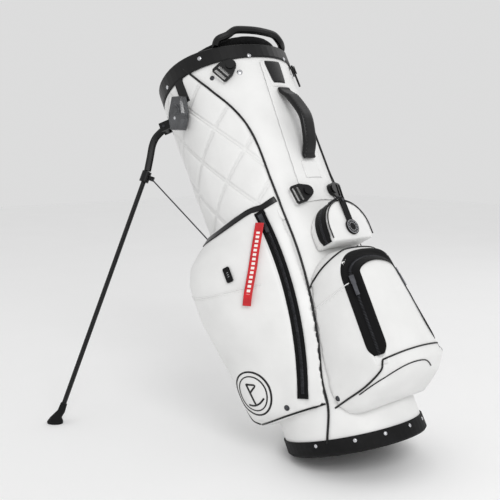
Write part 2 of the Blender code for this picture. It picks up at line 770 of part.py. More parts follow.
# The front edge of the side pocket, as an angle from the spine at each height
SIDE_FRONT = [(0.07, 59.0), (0.12, 56.0), (0.19, 48.0), (0.28, 41.5), (0.38, 40.0), (0.49, 41.0)]


def side_front(z):
    return radians(between(z, SIDE_FRONT))


def side_pocket_point(share, z, out=0.0):
    """A point of the side pocket's skin, on the far side: share runs from the front edge to the back edge."""
    fill = between((z - POCKET_BOTTOM) / (POCKET_TOP - POCKET_BOTTOM), SIDE_FILL)
    angle = side_front(z) + share * (POCKET_BACK - side_front(z))
    return on_bag(angle, z, SKIN_GAP + 0.003 + POCKET_DEPTH * fill * between(share, SIDE_BULGE) + out)


def mirrored(points, side):
    return [Vector((p[0], side * p[1], p[2])) for p in points]


def circle_through(first, middle, last):
    """Centre and unit axis of the circle through three points."""
    a, b = middle - first, last - first
    normal = a.cross(b)
    to_centre = (normal.cross(a) * b.length_squared + b.cross(normal) * a.length_squared) / (2 * normal.length_squared)
    return first + to_centre, normal.normalized()


ZIP_HEIGHTS = (0.462, 0.300, 0.104)
ZIP_SHARES = (0.160, 0.140, 0.205)


def side_zip(side):
    """The side pocket's zip follows one round arc: its centre, axis, angle and the frame of its top end."""
    marks = [side_pocket_point(s, z) for s, z in zip(ZIP_SHARES, ZIP_HEIGHTS)]
    top, middle, bottom = mirrored(marks, side)
    centre, axis = circle_through(top, middle, bottom)
    angle = (top - centre).angle(bottom - centre)
    return top, middle, centre, axis, angle


def arc_strip(top, centre, axis, start, angle, outward, half_width, low, high, steps=22):
    """A flat strip that follows an arc, its thickness measured along the outward direction."""
    sections = []
    across_at_top = axis.cross(top - centre).normalized().cross(outward).normalized()
    for i in range(steps + 1):
        turn = Matrix.Rotation(start + angle * i / steps, 3, axis)
        middle = centre + turn @ (top - centre)
        across, out = turn @ across_at_top, turn @ outward
        corners = ((-half_width, low), (half_width, low), (half_width, high), (-half_width, high))
        sections.append([middle + across * a + out * h for a, h in corners])
    return loft(sections)


def make_side_pocket(side, word):
    steps, inner_steps = 18, 12
    sections = []
    levels = [POCKET_BOTTOM + share * (POCKET_TOP - POCKET_BOTTOM) for share, _ in SIDE_FILL]
    levels[4:4] = [POCKET_BOTTOM + share * (POCKET_TOP - POCKET_BOTTOM) for share in (0.21,)]
    levels.insert(7, POCKET_BOTTOM + 0.50 * (POCKET_TOP - POCKET_BOTTOM))
    for z in sorted(levels):
        outer = [side_pocket_point(i / steps, z) for i in range(steps + 1)]
        front = side_front(z)
        back = [POCKET_BACK + (front - POCKET_BACK) * i / inner_steps for i in range(inner_steps + 1)]
        inner = [on_bag(angle, z, SKIN_GAP) for angle in back]
        sections.append(mirrored(outer + inner, side))
    name = word + "_side_pocket"
    pocket = add_object(name, mesh_from(loft(sections), name), WHITE, bag)

    top, middle, centre, axis, angle = side_zip(side)
    # The strip's outward direction: square to the zip, away from the bag
    along = axis.cross(middle - centre).normalized()
    outward = Vector((middle.x, middle.y, 0)).normalized()
    outward = (outward - along * outward.dot(along)).normalized()
    back_turn = Matrix.Rotation(-angle * ((top - centre).angle(middle - centre) / angle), 3, axis)
    outward = back_turn @ outward
    shape = (top, centre, axis)
    half = ZIP_WIDTH / 2
    channel = arc_strip(*shape, -0.012 / (top - centre).length, angle + 0.024 / (top - centre).length, outward, half + GAP, -ZIP_THICKNESS - GAP, 0.03)
    boolean(pocket, "DIFFERENCE", helper(word + "_zip_channel", channel, bag))
    band = arc_strip(*shape, 0.0, angle, outward, half, -ZIP_THICKNESS, 0.0)
    add_object(word + "_pocket_zip", mesh_from(band, word + "_pocket_zip"), BLACK_FABRIC, bag)

    # The slider starts at the top of the zip and runs down the arc
    inset = 0.016 / (top - centre).length
    start = centre + Matrix.Rotation(inset, 3, axis) @ (top - centre)
    out = Matrix.Rotation(inset, 3, axis) @ outward
    down = axis.cross(start - centre).normalized()
    turn = Matrix((down.cross(out), down, out)).transposed().to_4x4()
    hinge = empty(word + "_zip_hinge", Matrix.Translation(centre), bag)
    zip_slider(word + "_zip_pull", Matrix.Translation(start - centre) @ turn, hinge, STEEL)
    return start


def front_outline(z, half_angle, front_x, half_front, round_by, side_bulge):
    """One level of a spine-side pocket: outer skin from the far side to the near side, then back along the tube."""
    edge = on_bag(half_angle, z, SKIN_GAP + 0.003)
    corner = Vector((front_x, half_front, z))
    outer = []
    steps = 5
    for i in range(steps + 1):
        t = i / steps
        point = edge.lerp(corner, t)
        out = Vector((corner.y - edge.y, -(corner.x - edge.x), 0)).normalized()
        if out.y < 0:
            out = -out
        outer.append(point + out * side_bulge * sin(pi * t))
    inner_corner = Vector((front_x + round_by, half_front * 0.72, z))
    outer[-1] = edge.lerp(corner, 0.97)
    outer += [inner_corner, Vector((front_x + round_by * 1.6, half_front * 0.36, z)), Vector((front_x + round_by * 1.8, 0, z))]
    outer += [Vector((p.x, -p.y, p.z)) for p in reversed(outer[:-1])]
    back = [-half_angle + 2 * half_angle * i / 12 for i in range(13)]
    return outer + [on_bag(angle, z, SKIN_GAP) for angle in back]


def arch_path(half, bottom, spring, x, steps=16):
    """An arch seen from the spine side: up the near side, round the top and down the far side, with its outsides."""
    path = [(Vector((x, -half, bottom)), Vector((0, -1, 0)))]
    for i in range(steps + 1):
        angle = pi * i / steps
        out = Vector((0, -cos(angle), sin(angle)))
        path.append((Vector((x, 0, spring)) + out * half, out))
    return path + [(Vector((x, half, bottom)), Vector((0, 1, 0)))]


def strip(path, half_width, low, high):
    """A flat strip along a path of (point, outward direction) pairs."""
    sections = []
    for i, (point, out) in enumerate(path):
        along = (path[min(i + 1, len(path) - 1)][0] - path[max(i - 1, 0)][0]).normalized()
        across = along.cross(out).normalized()
        out = across.cross(along).normalized()
        corners = ((-half_width, low), (half_width, low), (half_width, high), (-half_width, high))
        sections.append([point + across * a + out * h for a, h in corners])
    return loft(sections)


def zip_slider(name, matrix, hinge, finish):
    """A slider with a flat pull tab: local Y runs down the zip, Z away from it."""
    slider = box((0.009, 0.016, 0.005), (0, 0, 0.0025 + GAP))
    tab = box((0.007, 0.026, 0.0025), (0, 0.018, 0.0045 + GAP))
    bmesh.ops.transform(slider, matrix=matrix, verts=slider.verts[:])
    made = add_object(name, mesh_from(slider, name, smooth=False), finish, hinge)
    boolean(made, "UNION", helper(name + "_tab", tab, hinge, matrix))
    return made


def make_accessory_pocket():
    """A small arch-topped pocket above the ball pocket, its zip let in along the arch."""
    half, front = ACCESSORY_HALF, ACCESSORY_FRONT
    spring = ACCESSORY_TOP - half
    outline = [(-half, ACCESSORY_BOTTOM)]
    outline += [(-half * cos(pi * i / 24), spring + half * sin(pi * i / 24)) for i in range(25)]
    outline.append((half, ACCESSORY_BOTTOM))
    rim = [(y * 0.955, spring + (z - spring) * 0.955 if z > spring else z) for y, z in outline]
    sections = [[(0.060, y, z) for y, z in outline], [(front - 0.004, y, z) for y, z in outline]]
    sections.append([(front, y, z) for y, z in rim])
    pocket = add_object("accessory_pocket", mesh_from(loft(sections), "accessory_pocket"), WHITE, bag)
    low, high = ACCESSORY_BOTTOM - 0.02, ACCESSORY_TOP + 0.02
    core = turned([(0, low), (radius_at(low) + SKIN_GAP, low), (radius_at(high) + SKIN_GAP, high), (0, high)], BAG_SIDES)
    boolean(pocket, "DIFFERENCE", helper("accessory_back", core, bag))
    middle = front - 0.009 - ARCH_WIDTH / 2
    path = arch_path(half, ACCESSORY_BOTTOM + 0.004, spring, middle)
    channel_path = arch_path(half, ACCESSORY_BOTTOM - 0.010, spring, middle)
    channel = strip(channel_path, ARCH_WIDTH / 2 + GAP, -ARCH_DEPTH - GAP, 0.02)
    boolean(pocket, "DIFFERENCE", helper("accessory_channel", channel, bag))
    band = strip(path, ARCH_WIDTH / 2, -ARCH_DEPTH, 0.0)
    add_object("accessory_zip", mesh_from(band, "accessory_zip"), BLACK_FABRIC, bag)

    # The slider sits on top of the arch, and a strap bends over the front edge to carry the disc
    hinge = empty("accessory_zip_hinge", Matrix.Translation((middle, 0, spring)), bag)
    top = half + GAP
    slider = box((0.016, 0.009, 0.005), (0, 0, top + 0.0025))
    pull = add_object("accessory_zip_pull", mesh_from(slider, "accessory_zip_pull", smooth=False), STEEL, hinge)
    face = front - middle
    peg_z = top - 0.004
    bail = box((face + 0.0022, 0.007, 0.0025), ((face + 0.0022) / 2, 0, top + 0.00425))
    boolean(pull, "UNION", helper("accessory_pull_bail", bail, hinge))
    drop = box((0.0016, 0.006, top + 0.005 - peg_z), (face + 0.0014, 0, (top + 0.005 + peg_z) / 2))
    boolean(pull, "UNION", helper("accessory_pull_drop", drop, hinge))
    peg = rod((face + 0.001, 0, peg_z), (face + 0.0062, 0, peg_z), PEG_RADIUS, 12)
    boolean(pull, "UNION", helper("accessory_pull_peg", peg, hinge))
    head = rod((face + 0.0054, 0, peg_z), (face + 0.0066, 0, peg_z), 2.2 * PEG_RADIUS, 16)
    boolean(pull, "UNION", helper("accessory_pull_head", head, hinge))

    # The disc hangs on the peg by a flat tag, and stays plumb as the slider runs round the arch
    swing = empty("pull_disc_hinge", Matrix.Translation((face + 0.0038, 0, peg_z)), hinge)
    disc_low = DISC_DROP - DISC_RADIUS
    tag = box((0.0020, 0.015, disc_low + 0.009), (0, 0, (0.009 - disc_low) / 2 - 0.003))
    disc = add_object("pull_disc", mesh_from(tag, "pull_disc"), RUBBER, swing)
    puck = rod((-0.0018, 0, -DISC_DROP), (0.0018, 0, -DISC_DROP), DISC_RADIUS, 28)
    boolean(disc, "UNION", helper("pull_disc_puck", puck, swing))
    eye = rod((-0.01, 0, 0), (0.01, 0, 0), PEG_RADIUS + GAP, 12)
    boolean(disc, "DIFFERENCE", helper("pull_disc_eye", eye, swing))


def make_ball_pocket():
    """The big pocket at the foot of the spine side, its zip let in round the front panel."""
    levels = [
        (BALL_BOTTOM, 40, BASE_RADIUS + 0.010, 0.070),
        (BALL_BOTTOM + 0.012, 48, 0.160, 0.080),
        (BALL_BOTTOM + 0.030, 52, 0.186, 0.085),
        (BALL_BOTTOM + 0.055, 53, BALL_FRONT + 0.002, 0.086),
        (BALL_BOTTOM + 0.075, 52, BALL_FRONT + 0.003, 0.086),
        (0.170, 49, BALL_FRONT - 0.002, 0.083),
        (0.220, 45, BALL_FRONT - 0.005, 0.078),
        (0.270, 41, BALL_FRONT - 0.009, 0.071),
        (BALL_TOP - 0.035, 37, BALL_FRONT - 0.013, 0.064),
        (BALL_TOP - 0.018, 31, BALL_FRONT - 0.023, 0.056),
        (BALL_TOP - 0.006, 24, BALL_FRONT - 0.038, 0.045),
        (BALL_TOP, 18, BALL_FRONT - 0.052, 0.034),
    ]
    sections = [front_outline(z, radians(angle), front, half, 0.003, 0.008) for z, angle, front, half in levels]
    pocket = add_object("ball_pocket", mesh_from(loft(sections), "ball_pocket"), WHITE, bag)

    low, high = Vector(BALL_ZIP_LOW), Vector(BALL_ZIP_HIGH)
    steps = 14
    leg_out = Vector((1, 1, 0)).normalized()
    rise = (high - low).normalized()

    def path_from(start):
        far = [(start, leg_out), (low.lerp(high, 0.5), leg_out), (high, leg_out)]
        for i in range(1, steps // 2 + 1):
            turn = pi / 2 * i / (steps // 2)
            point = high + Vector((BALL_ARCH_BACK * sin(turn), -high.y * (1 - cos(turn)), BALL_ARCH_RISE * sin(turn)))
            out = Vector((1, cos(turn), sin(turn))).normalized()
            far.append((point, out))
        near = [(Vector((p.x, -p.y, p.z)), Vector((o.x, -o.y, o.z))) for p, o in far[:-1]]
        return near + list(reversed(far))

    half = BALL_ZIP_WIDTH / 2
    channel = strip(path_from(low - rise * 0.008), half + GAP, -ZIP_THICKNESS - GAP, 0.02)
    boolean(pocket, "DIFFERENCE", helper("ball_channel", channel, bag))
    add_object("ball_zip", mesh_from(strip(path_from(low), half, -ZIP_THICKNESS, 0.0), "ball_zip"), BLACK_FABRIC, bag)
    for word, side in (("near", NEAR), ("far", FAR)):
        start = high - rise * 0.012
        start = Vector((start.x, side * start.y, start.z))
        out = Vector((leg_out.x, side * leg_out.y, 0))
        down = Vector((-rise.x, -side * rise.y, -rise.z))
        out = (out - down * out.dot(down)).normalized()
        turn = Matrix((down.cross(out), down, out)).transposed().to_4x4()
        slide = empty(word + "_ball_zip_slide", Matrix.Translation(start) @ turn, bag)
        zip_slider(word + "_ball_zip_pull", Matrix.Identity(4), slide, STEEL)


# ---------------------------------------------------------------- spine side


def make_spine_panel():
    sections = []
    for i in range(9):
        z = SPINE_BOTTOM + (SPINE_TOP - SPINE_BOTTOM) * i / 8
        half = radians(between(z, [(SPINE_BOTTOM, 19.0), (0.600, 16.0), (SPINE_TOP, 12.0)]))
        angles = [-half + 2 * half * k / 10 for k in range(11)]
        outer = [on_bag(angle, z, SKIN_GAP + SPINE_THICKNESS) for angle in angles]
        inner = [on_bag(angle, z, SKIN_GAP) for angle in reversed(angles)]
        sections.append(outer + inner)
    add_object("spine_panel", mesh_from(loft(sections), "spine_panel"), WHITE, bag)


def on_spine(z, out=0.0):
    return on_bag(0.0, z, SKIN_GAP + SPINE_THICKNESS + out)


def make_spine_patch():
    middle = (PATCH_BOTTOM + PATCH_TOP) / 2
    outline = rounded_outline(PATCH_WIDTH / 2, (PATCH_TOP - PATCH_BOTTOM) / 2, 0.006)
    data = flat_curve("spine_patch", [outline], PATCH_THICKNESS)
    frame = skin_frame(0.0, middle, SKIN_GAP + SPINE_THICKNESS + PATCH_THICKNESS / 2 + 0.0006)
    add_object("spine_patch", data, BLACK_LEATHER, bag, frame)


def make_carry_handle():
    """A padded handle, bowed off the spine, its two ends sewn flat to the panel."""
    gap = 0.0022
    start, end = HANDLE_TOP, HANDLE_BOTTOM
    half = HANDLE_THICKNESS / 2
    route = [
        (on_spine(start, half * 0.6 + gap), 0.55),
        (on_spine(start - 0.010, half * 0.7 + gap), 0.70),
        (on_spine(start - 0.028, half + 0.012), 1.0),
        (on_spine(start - 0.055, half + HANDLE_STAND * 0.80), 1.0),
        (on_spine((start + end) / 2, half + HANDLE_STAND), 1.0),
        (on_spine(end + 0.055, half + HANDLE_STAND * 0.84), 1.0),
        (on_spine(end + 0.028, half + 0.013), 1.0),
        (on_spine(end + 0.010, half * 0.7 + gap), 0.70),
        (on_spine(end, half * 0.6 + gap), 0.55),
    ]
    points = smoothed([p for p, _ in route], 3)
    shares = [route[min(i // 3, 8)][1] for i in range(len(points))]
    sections = []
    for i, point in enumerate(points):
        ahead = points[min(i + 1, len(points) - 1)] - points[max(i - 1, 0)]
        along = Vector((ahead.x, 0, ahead.z)).normalized() if 2 < i < len(points) - 3 else Vector((0, 0, -1))
        out = Vector((-along.z, 0, along.x))
        outline = rounded_outline(HANDLE_WIDTH / 2, half * shares[i], half * shares[i] * 0.9, 3)
        sections.append([point + Vector((0, 1, 0)) * a + out * b for a, b in outline])
    add_object("carry_handle", mesh_from(loft(sections), "carry_handle"), BLACK_LEATHER, bag)


# Each anchor: its name, its angle from the spine, its height, and which way its loop hangs, from straight up
ANCHORS = [
    ("upper_near", -38.0, 0.766, -118.0, 0.0),
    ("upper_far", 38.0, 0.766, 118.0, 0.0),
    ("lower_near", -14.5, 0.472, -98.0, SPINE_THICKNESS + 0.0004),
    ("lower_far", 14.5, 0.472, 98.0, SPINE_THICKNESS + 0.0004),
]


def make_anchor(name, angle, z, hang, lift):
    """A riveted stud with a loop for the shoulder strap, which turns round the stud."""
    frame = skin_frame(radians(angle), z, SKIN_GAP + lift)
    base = rod((0, 0, 0.0006), (0, 0, ANCHOR_THICKNESS), ANCHOR_RADIUS, 20)
    stud_name = "strap_stud_" + name
    stud = add_object(stud_name, mesh_from(base, stud_name), BLACK_PLASTIC, bag, frame)
    post_top = ANCHOR_THICKNESS + LOOP_THICKNESS + 2 * GAP + 0.0025
    post = rod((0, 0, ANCHOR_THICKNESS / 2), (0, 0, post_top - 0.001), POST_RADIUS, 16)
    head = rod((0, 0, post_top - 0.0025), (0, 0, post_top), ANCHOR_RADIUS * 0.72, 20)
    boolean(stud, "UNION", helper(stud_name + "_post", post, bag, frame))
    boolean(stud, "UNION", helper(stud_name + "_head", head, bag, frame))

    middle = ANCHOR_THICKNESS + GAP + LOOP_THICKNESS / 2
    turn = Matrix.Rotation(-radians(hang), 4, "Z")
    hinge = empty("strap_loop_hinge_" + name, frame @ Matrix.Translation((0, 0, middle)) @ turn, bag)
    ring = [(ANCHOR_RADIUS * cos(radians(a)), ANCHOR_RADIUS * sin(radians(a))) for a in range(200, 341, 20)]
    wide = LOOP_WIDTH / 2
    outline = ring + [(wide, LOOP_REACH * 0.35), (wide, LOOP_REACH - 0.003), (wide - 0.003, LOOP_REACH)]
    outline += [(-wide + 0.003, LOOP_REACH), (-wide, LOOP_REACH - 0.003), (-wide, LOOP_REACH * 0.35)]
    hole = [((POST_RADIUS + GAP) * cos(2 * pi * i / 16), (POST_RADIUS + GAP) * sin(2 * pi * i / 16)) for i in range(16)]
    slots = []
    slot_height = (LOOP_REACH * 0.62 - 2 * LOOP_BAR * 0.7) / 2
    for k in (0, 1):
        low = LOOP_REACH * 0.38 + LOOP_BAR * 0.3 + k * (slot_height + LOOP_BAR * 0.7)
        centre_y = low + slot_height / 2
        slot = rounded_outline(wide - LOOP_BAR * 0.8, slot_height / 2, 0.0015, 2)
        slots.append([(x, y + centre_y) for x, y in slot])
    loop_name = "strap_loop_" + name
    add_object(loop_name, flat_curve(loop_name, [outline, hole] + slots, LOOP_THICKNESS), BLACK_PLASTIC, hinge)


def make_case():
    """A clip under the cuff with a small hard case hanging from it."""
    mount_low, mount_high = CASE_TOP + 0.001, BAG_LENGTH - CUFF_HEIGHT + CUFF_CAP - 0.004
    frame = skin_frame(CASE_ANGLE, (mount_low + mount_high) / 2, SKIN_GAP + 0.0032)
    height = mount_high - mount_low
    mount = box((0.022, height + 0.016, 0.004), (0, 0.001 - 0.008, 0.0))
    add_object("case_clip", mesh_from(mount, "case_clip", smooth=False), BLACK_PLASTIC, bag, frame)
    outline_half = [(0.013, 0.0), (0.016, -0.010), (CASE_WIDTH / 2, -0.034), (CASE_WIDTH / 2, -0.046), (0.014, -0.068)]
    outline = outline_half + [(-x, y) for x, y in reversed(outline_half)]
    frame = skin_frame(CASE_ANGLE, CASE_TOP, SKIN_GAP + 0.0064)
    plumb = (bag_matrix @ frame).to_3x3().inverted() @ Vector((0, 0, -1))
    swing = Matrix.Rotation(atan2(plumb.x, -plumb.y), 4, "Z")
    hang = empty("case_hinge", frame @ swing, bag)
    bm = loft([[(x * share, y * 0.98 - 0.001, z) for x, y in outline] for share, z in ((0.86, 0.0), (1.0, 0.004), (1.0, CASE_DEPTH - 0.005), (0.82, CASE_DEPTH))])
    add_object("clip_case", mesh_from(bm, "clip_case"), SMOKE, hang)


def side_skin(point, out):
    """The point of the near side pocket's skin at a point's angle and height, standing out by a distance."""
    angle = abs(atan2(point.y, point.x))
    share = (angle - side_front(point.z)) / (POCKET_BACK - side_front(point.z))
    return mirrored([side_pocket_point(share, point.z, out)], NEAR)[0]


def make_badge():
    """A small stiff label sewn on the near pocket."""
    middle = side_skin(Vector(BADGE_AT), 0.0)
    up = (side_skin(Vector(BADGE_AT) + Vector((0, 0, 0.008)), 0.0) - middle).normalized()
    round_way = side_skin(Vector(BADGE_AT) + Vector((0.008, 0, 0)), 0.0) - middle
    round_way = (round_way - up * round_way.dot(up)).normalized()
    out = round_way.cross(up).normalized()
    frame = Matrix.Translation(middle + out * 0.0030) @ Matrix((round_way, up, out)).transposed().to_4x4()
    outline = rounded_outline(BADGE_SIZE[0] / 2, BADGE_SIZE[1] / 2, 0.003)
    add_object("pocket_badge", flat_curve("pocket_badge", [outline], BADGE_SIZE[2]), RUBBER, bag, frame)


def make_ribbon(start):
    """A flat ribbon tied to the zip pull: it hangs down across the pocket's bulge."""
    plumb = bag_matrix.to_3x3().inverted() @ Vector((0, 0, -1))
    stand_off = 0.0085
    points = [side_skin(start + plumb * 0.010, stand_off)]
    run = 0.0
    while run < RIBBON_LENGTH:
        ahead = side_skin(points[-1] + plumb * 0.008, stand_off)
        run += (ahead - points[-1]).length
        points.append(ahead)
    sections = []
    for i, point in enumerate(points):
        along = (points[min(i + 1, len(points) - 1)] - points[max(i - 1, 0)]).normalized()
        beside = side_skin(point + plumb.cross(Vector((0, -1, 0))) * 0.008, stand_off) - point
        across = (beside - along * beside.dot(along)).normalized()
        out = along.cross(across).normalized()
        half, thick = RIBBON_WIDTH / 2, RIBBON_THICKNESS / 2
        corners = ((-half, -thick), (half, -thick), (half, thick), (-half, thick))
        sections.append([point + across * a + out * h for a, h in corners])
    add_object("pull_ribbon", mesh_from(loft(sections), "pull_ribbon", smooth=False), RED, bag)


def main():
    make_bag_body()
    make_boot()
    make_cuff()
    make_hoop()
    make_divider()
    make_crown()
    make_stays()
    make_hip_pad()
    legs = [Leg(NEAR), Leg(FAR)]
    for leg in legs:
        make_leg(leg)
        make_wire(leg)
    make_bracket(legs)
    make_yoke()
    near_slider = make_side_pocket(NEAR, "near")
    make_side_pocket(FAR, "far")
    make_accessory_pocket()
    make_ball_pocket()
    make_spine_panel()
    make_spine_patch()
    make_carry_handle()
    for anchor in ANCHORS:
        make_anchor(*anchor)
    make_case()
    make_badge()
    make_ribbon(near_slider)


main()
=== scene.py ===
import json
import bpy
import bmesh
from math import atan2, cos, degrees, hypot, pi, radians, sin
from mathutils import Matrix, Vector
from mathutils.bvhtree import BVHTree
from mathutils.kdtree import KDTree


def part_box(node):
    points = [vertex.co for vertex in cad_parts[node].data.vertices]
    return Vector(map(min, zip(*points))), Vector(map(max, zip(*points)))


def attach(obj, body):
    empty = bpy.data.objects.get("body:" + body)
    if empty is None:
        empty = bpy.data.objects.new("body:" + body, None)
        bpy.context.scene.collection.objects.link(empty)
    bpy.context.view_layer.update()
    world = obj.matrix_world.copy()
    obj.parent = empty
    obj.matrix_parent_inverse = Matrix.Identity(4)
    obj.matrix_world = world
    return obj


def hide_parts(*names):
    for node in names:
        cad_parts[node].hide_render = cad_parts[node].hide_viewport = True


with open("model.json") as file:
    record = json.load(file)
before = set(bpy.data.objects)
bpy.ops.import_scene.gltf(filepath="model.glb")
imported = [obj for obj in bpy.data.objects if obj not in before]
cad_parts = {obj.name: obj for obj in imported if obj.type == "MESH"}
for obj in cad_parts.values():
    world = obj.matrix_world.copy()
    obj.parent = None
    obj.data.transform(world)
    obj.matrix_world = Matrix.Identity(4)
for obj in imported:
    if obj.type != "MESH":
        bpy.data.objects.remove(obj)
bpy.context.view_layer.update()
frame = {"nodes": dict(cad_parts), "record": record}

scene = bpy.context.scene
nodes = frame["nodes"]

# The bag is drawn upright in its own frame, +X to the spine, -Y to the near side, and leans back on its legs
bagFrame = {
    "lean": radians(-29.0),
    "foot": (0.119316, 0.0, 0.033629),
    "baseRadius": 0.131,
    "topRadius": 0.141,
    "length": 0.822,
}
leaning = Matrix.Translation(bagFrame["foot"]) @ Matrix.Rotation(bagFrame["lean"], 4, "Y")
upright = leaning.inverted()


def radiusAt(z):
    return bagFrame["baseRadius"] + (bagFrame["topRadius"] - bagFrame["baseRadius"]) * z / bagFrame["length"]


def bagPoint(angle, z, out=0.0):  # angle in degrees from the spine, the near side negative
    turn = radians(angle)
    reach = radiusAt(z) + out
    return leaning @ Vector((reach * cos(turn), reach * sin(turn), z))


def hexColour(code):  # sRGB hex to linear
    parts = [int(code[i:i + 2], 16) / 255 for i in (1, 3, 5)]
    return tuple(p / 12.92 if p <= 0.04045 else ((p + 0.055) / 1.055) ** 2.4 for p in parts) + (1.0,)


def addNode(tree, kind, values=None, links=None, stops=(), **settings):  # stops: a ramp's (place, hex) pairs
    node = tree.nodes.new(kind)
    for name, value in settings.items():
        setattr(node, name, value)
    for socket, value in (values or {}).items():
        node.inputs[socket].default_value = value
    for socket, source in (links or {}).items():
        tree.links.new(source, node.inputs[socket])
    for i, (place, code) in enumerate(stops):
        node.color_ramp.elements[i].position = place
        node.color_ramp.elements[i].color = hexColour(code)
    return node


def startMaterial(name, values):
    made = bpy.data.materials.new(name)
    made.use_nodes = True
    tree = made.node_tree
    shader = tree.nodes["Principled BSDF"]
    for socket, value in values.items():
        shader.inputs[socket].default_value = value
    where = addNode(tree, "ShaderNodeTexCoord").outputs["Object"]
    return made, tree, shader, where


def dress(tree, shader, tone, stops, relief=None, strength=0.0, depth=0.0):
    # one pattern picks between two colours, and another raises the surface
    ramp = addNode(tree, "ShaderNodeValToRGB", links={"Fac": tone}, stops=stops)
    tree.links.new(ramp.outputs["Color"], shader.inputs["Base Color"])
    if relief:
        raised = addNode(tree, "ShaderNodeBump", {"Strength": strength, "Distance": depth}, {"Height": relief})
        tree.links.new(raised.outputs["Normal"], shader.inputs["Normal"])


# PU-coated synthetic leather, calendered: bright white, soft satin sheen, fine pebble and slow ripples
def coatedLeather():
    look = {"white": "#EAEAE9", "shade": "#E0E0DF", "grain": 0.0021, "ripple": 0.055, "tone": 0.09}
    made, tree, shader, where = startMaterial(
        "coatedWhiteLeather", {"Roughness": 0.44, "IOR": 1.5, "Coat Weight": 0.08, "Coat Roughness": 0.35}
    )
    tone = addNode(tree, "ShaderNodeTexNoise", {"Scale": 1 / look["tone"], "Detail": 3.0}, {"Vector": where})
    dress(tree, shader, tone.outputs["Fac"], ((0.25, look["shade"]), (0.62, look["white"])))
    grain = addNode(tree, "ShaderNodeTexVoronoi", {"Scale": 1 / look["grain"]}, {"Vector": where})
    ripple = addNode(tree, "ShaderNodeTexNoise", {"Scale": 1 / look["ripple"], "Detail": 2.0}, {"Vector": where})
    slow = addNode(tree, "ShaderNodeBump", {"Strength": 0.35, "Distance": 0.004}, {"Height": ripple.outputs["Fac"]})
    fine = addNode(
        tree, "ShaderNodeBump", {"Strength": 0.12, "Distance": 0.0003},
        {"Height": grain.outputs["Distance"], "Normal": slow.outputs["Normal"]},
    )
    tree.links.new(fine.outputs["Normal"], shader.inputs["Normal"])
    return made


# ABS and nylon mouldings, spark-eroded tool: satin black with a fine even grit and paler rubbed spots
def mouldedBlack():
    look = {"black": "#070708", "rubbed": "#0F0F10", "grit": 0.0011, "rub": 0.03}
    made, tree, shader, where = startMaterial(
        "mouldedNylonBlack", {"Roughness": 0.4, "IOR": 1.5, "Specular IOR Level": 0.3}
    )
    rub = addNode(tree, "ShaderNodeTexNoise", {"Scale": 1 / look["rub"], "Detail": 4.0}, {"Vector": where})
    grit = addNode(tree, "ShaderNodeTexNoise", {"Scale": 1 / look["grit"], "Detail": 2.0}, {"Vector": where})
    stops = (0.4, look["black"]), (0.75, look["rubbed"])
    dress(tree, shader, rub.outputs["Fac"], stops, grit.outputs["Fac"], 0.25, 0.0002)
    return made


# Smooth black synthetic leather, embossed: low sheen, small creased cells
def blackLeather():
    look = {"black": "#080809", "worn": "#111113", "cell": 0.0022, "wear": 0.02}
    made, tree, shader, where = startMaterial(
        "embossedBlackLeather", {"Roughness": 0.32, "IOR": 1.5, "Specular IOR Level": 0.35}
    )
    wear = addNode(tree, "ShaderNodeTexNoise", {"Scale": 1 / look["wear"], "Detail": 5.0}, {"Vector": where})
    cell = addNode(
        tree, "ShaderNodeTexVoronoi", {"Scale": 1 / look["cell"]}, {"Vector": where}, feature="DISTANCE_TO_EDGE"
    )
    stops = (0.45, look["black"]), (0.8, look["worn"])
    dress(tree, shader, wear.outputs["Fac"], stops, cell.outputs["Distance"], 0.35, 0.0004)
    return made


# Polyester cloth, woven: matt black with crossing ribs, drawn about 2 mm apart so that they show
def wovenBlack(name, ribs, black, pale):
    made, tree, shader, where = startMaterial(
        name, {"Roughness": 0.85, "Sheen Weight": 0.06, "Sheen Roughness": 0.5, "Specular IOR Level": 0.2}
    )
    scale = 0.314 / ribs  # a wave at scale 1 repeats every 0.314 m
    across = addNode(tree, "ShaderNodeTexWave", {"Scale": scale}, {"Vector": where}, bands_direction="X")
    along = addNode(tree, "ShaderNodeTexWave", {"Scale": scale}, {"Vector": where}, bands_direction="Z")
    crossed = {0: across.outputs["Fac"], 1: along.outputs["Fac"]}
    weave = addNode(tree, "ShaderNodeMath", links=crossed, operation="MULTIPLY").outputs["Value"]
    dress(tree, shader, weave, ((0.0, black), (1.0, pale)), weave, 0.5, 0.0005)
    return made


# Carbon-fibre tube, twill under lacquer: near black with a 3 mm weave that shows in the gloss
def carbonTwill():
    look = {"tow": 0.003, "turn": (0.6, 0.8, 0.785), "dark": "#060607", "pale": "#131416"}
    made, tree, shader, where = startMaterial(
        "carbonTwill", {"Roughness": 0.4, "Coat Weight": 0.15, "Coat Roughness": 0.12, "Specular IOR Level": 0.25}
    )
    turned = addNode(tree, "ShaderNodeMapping", {"Rotation": look["turn"]}, {"Vector": where}).outputs["Vector"]
    tows = addNode(tree, "ShaderNodeTexChecker", {"Scale": 1 / look["tow"]}, {"Vector": turned}).outputs["Fac"]
    dress(tree, shader, tows, ((0.0, look["dark"]), (1.0, look["pale"])), tows, 0.2, 0.0002)
    return made


# Steel: drawn wire and stampings, blackened or bright, with fine drawing lines and a mottled colour
def steelFinish(name, dark, pale, roughness, lines=0.0009, mottle=1 / 90):
    made, tree, shader, where = startMaterial(name, {"Metallic": 1.0, "Roughness": roughness})
    cloudy = addNode(tree, "ShaderNodeTexNoise", {"Scale": 1 / mottle, "Detail": 4.0}, {"Vector": where})
    drawn = addNode(tree, "ShaderNodeTexNoise", {"Scale": 1 / lines, "Detail": 1.0}, {"Vector": where})
    dress(tree, shader, cloudy.outputs["Fac"], ((0.3, dark), (0.7, pale)), drawn.outputs["Fac"], 0.15, 0.0001)
    return made


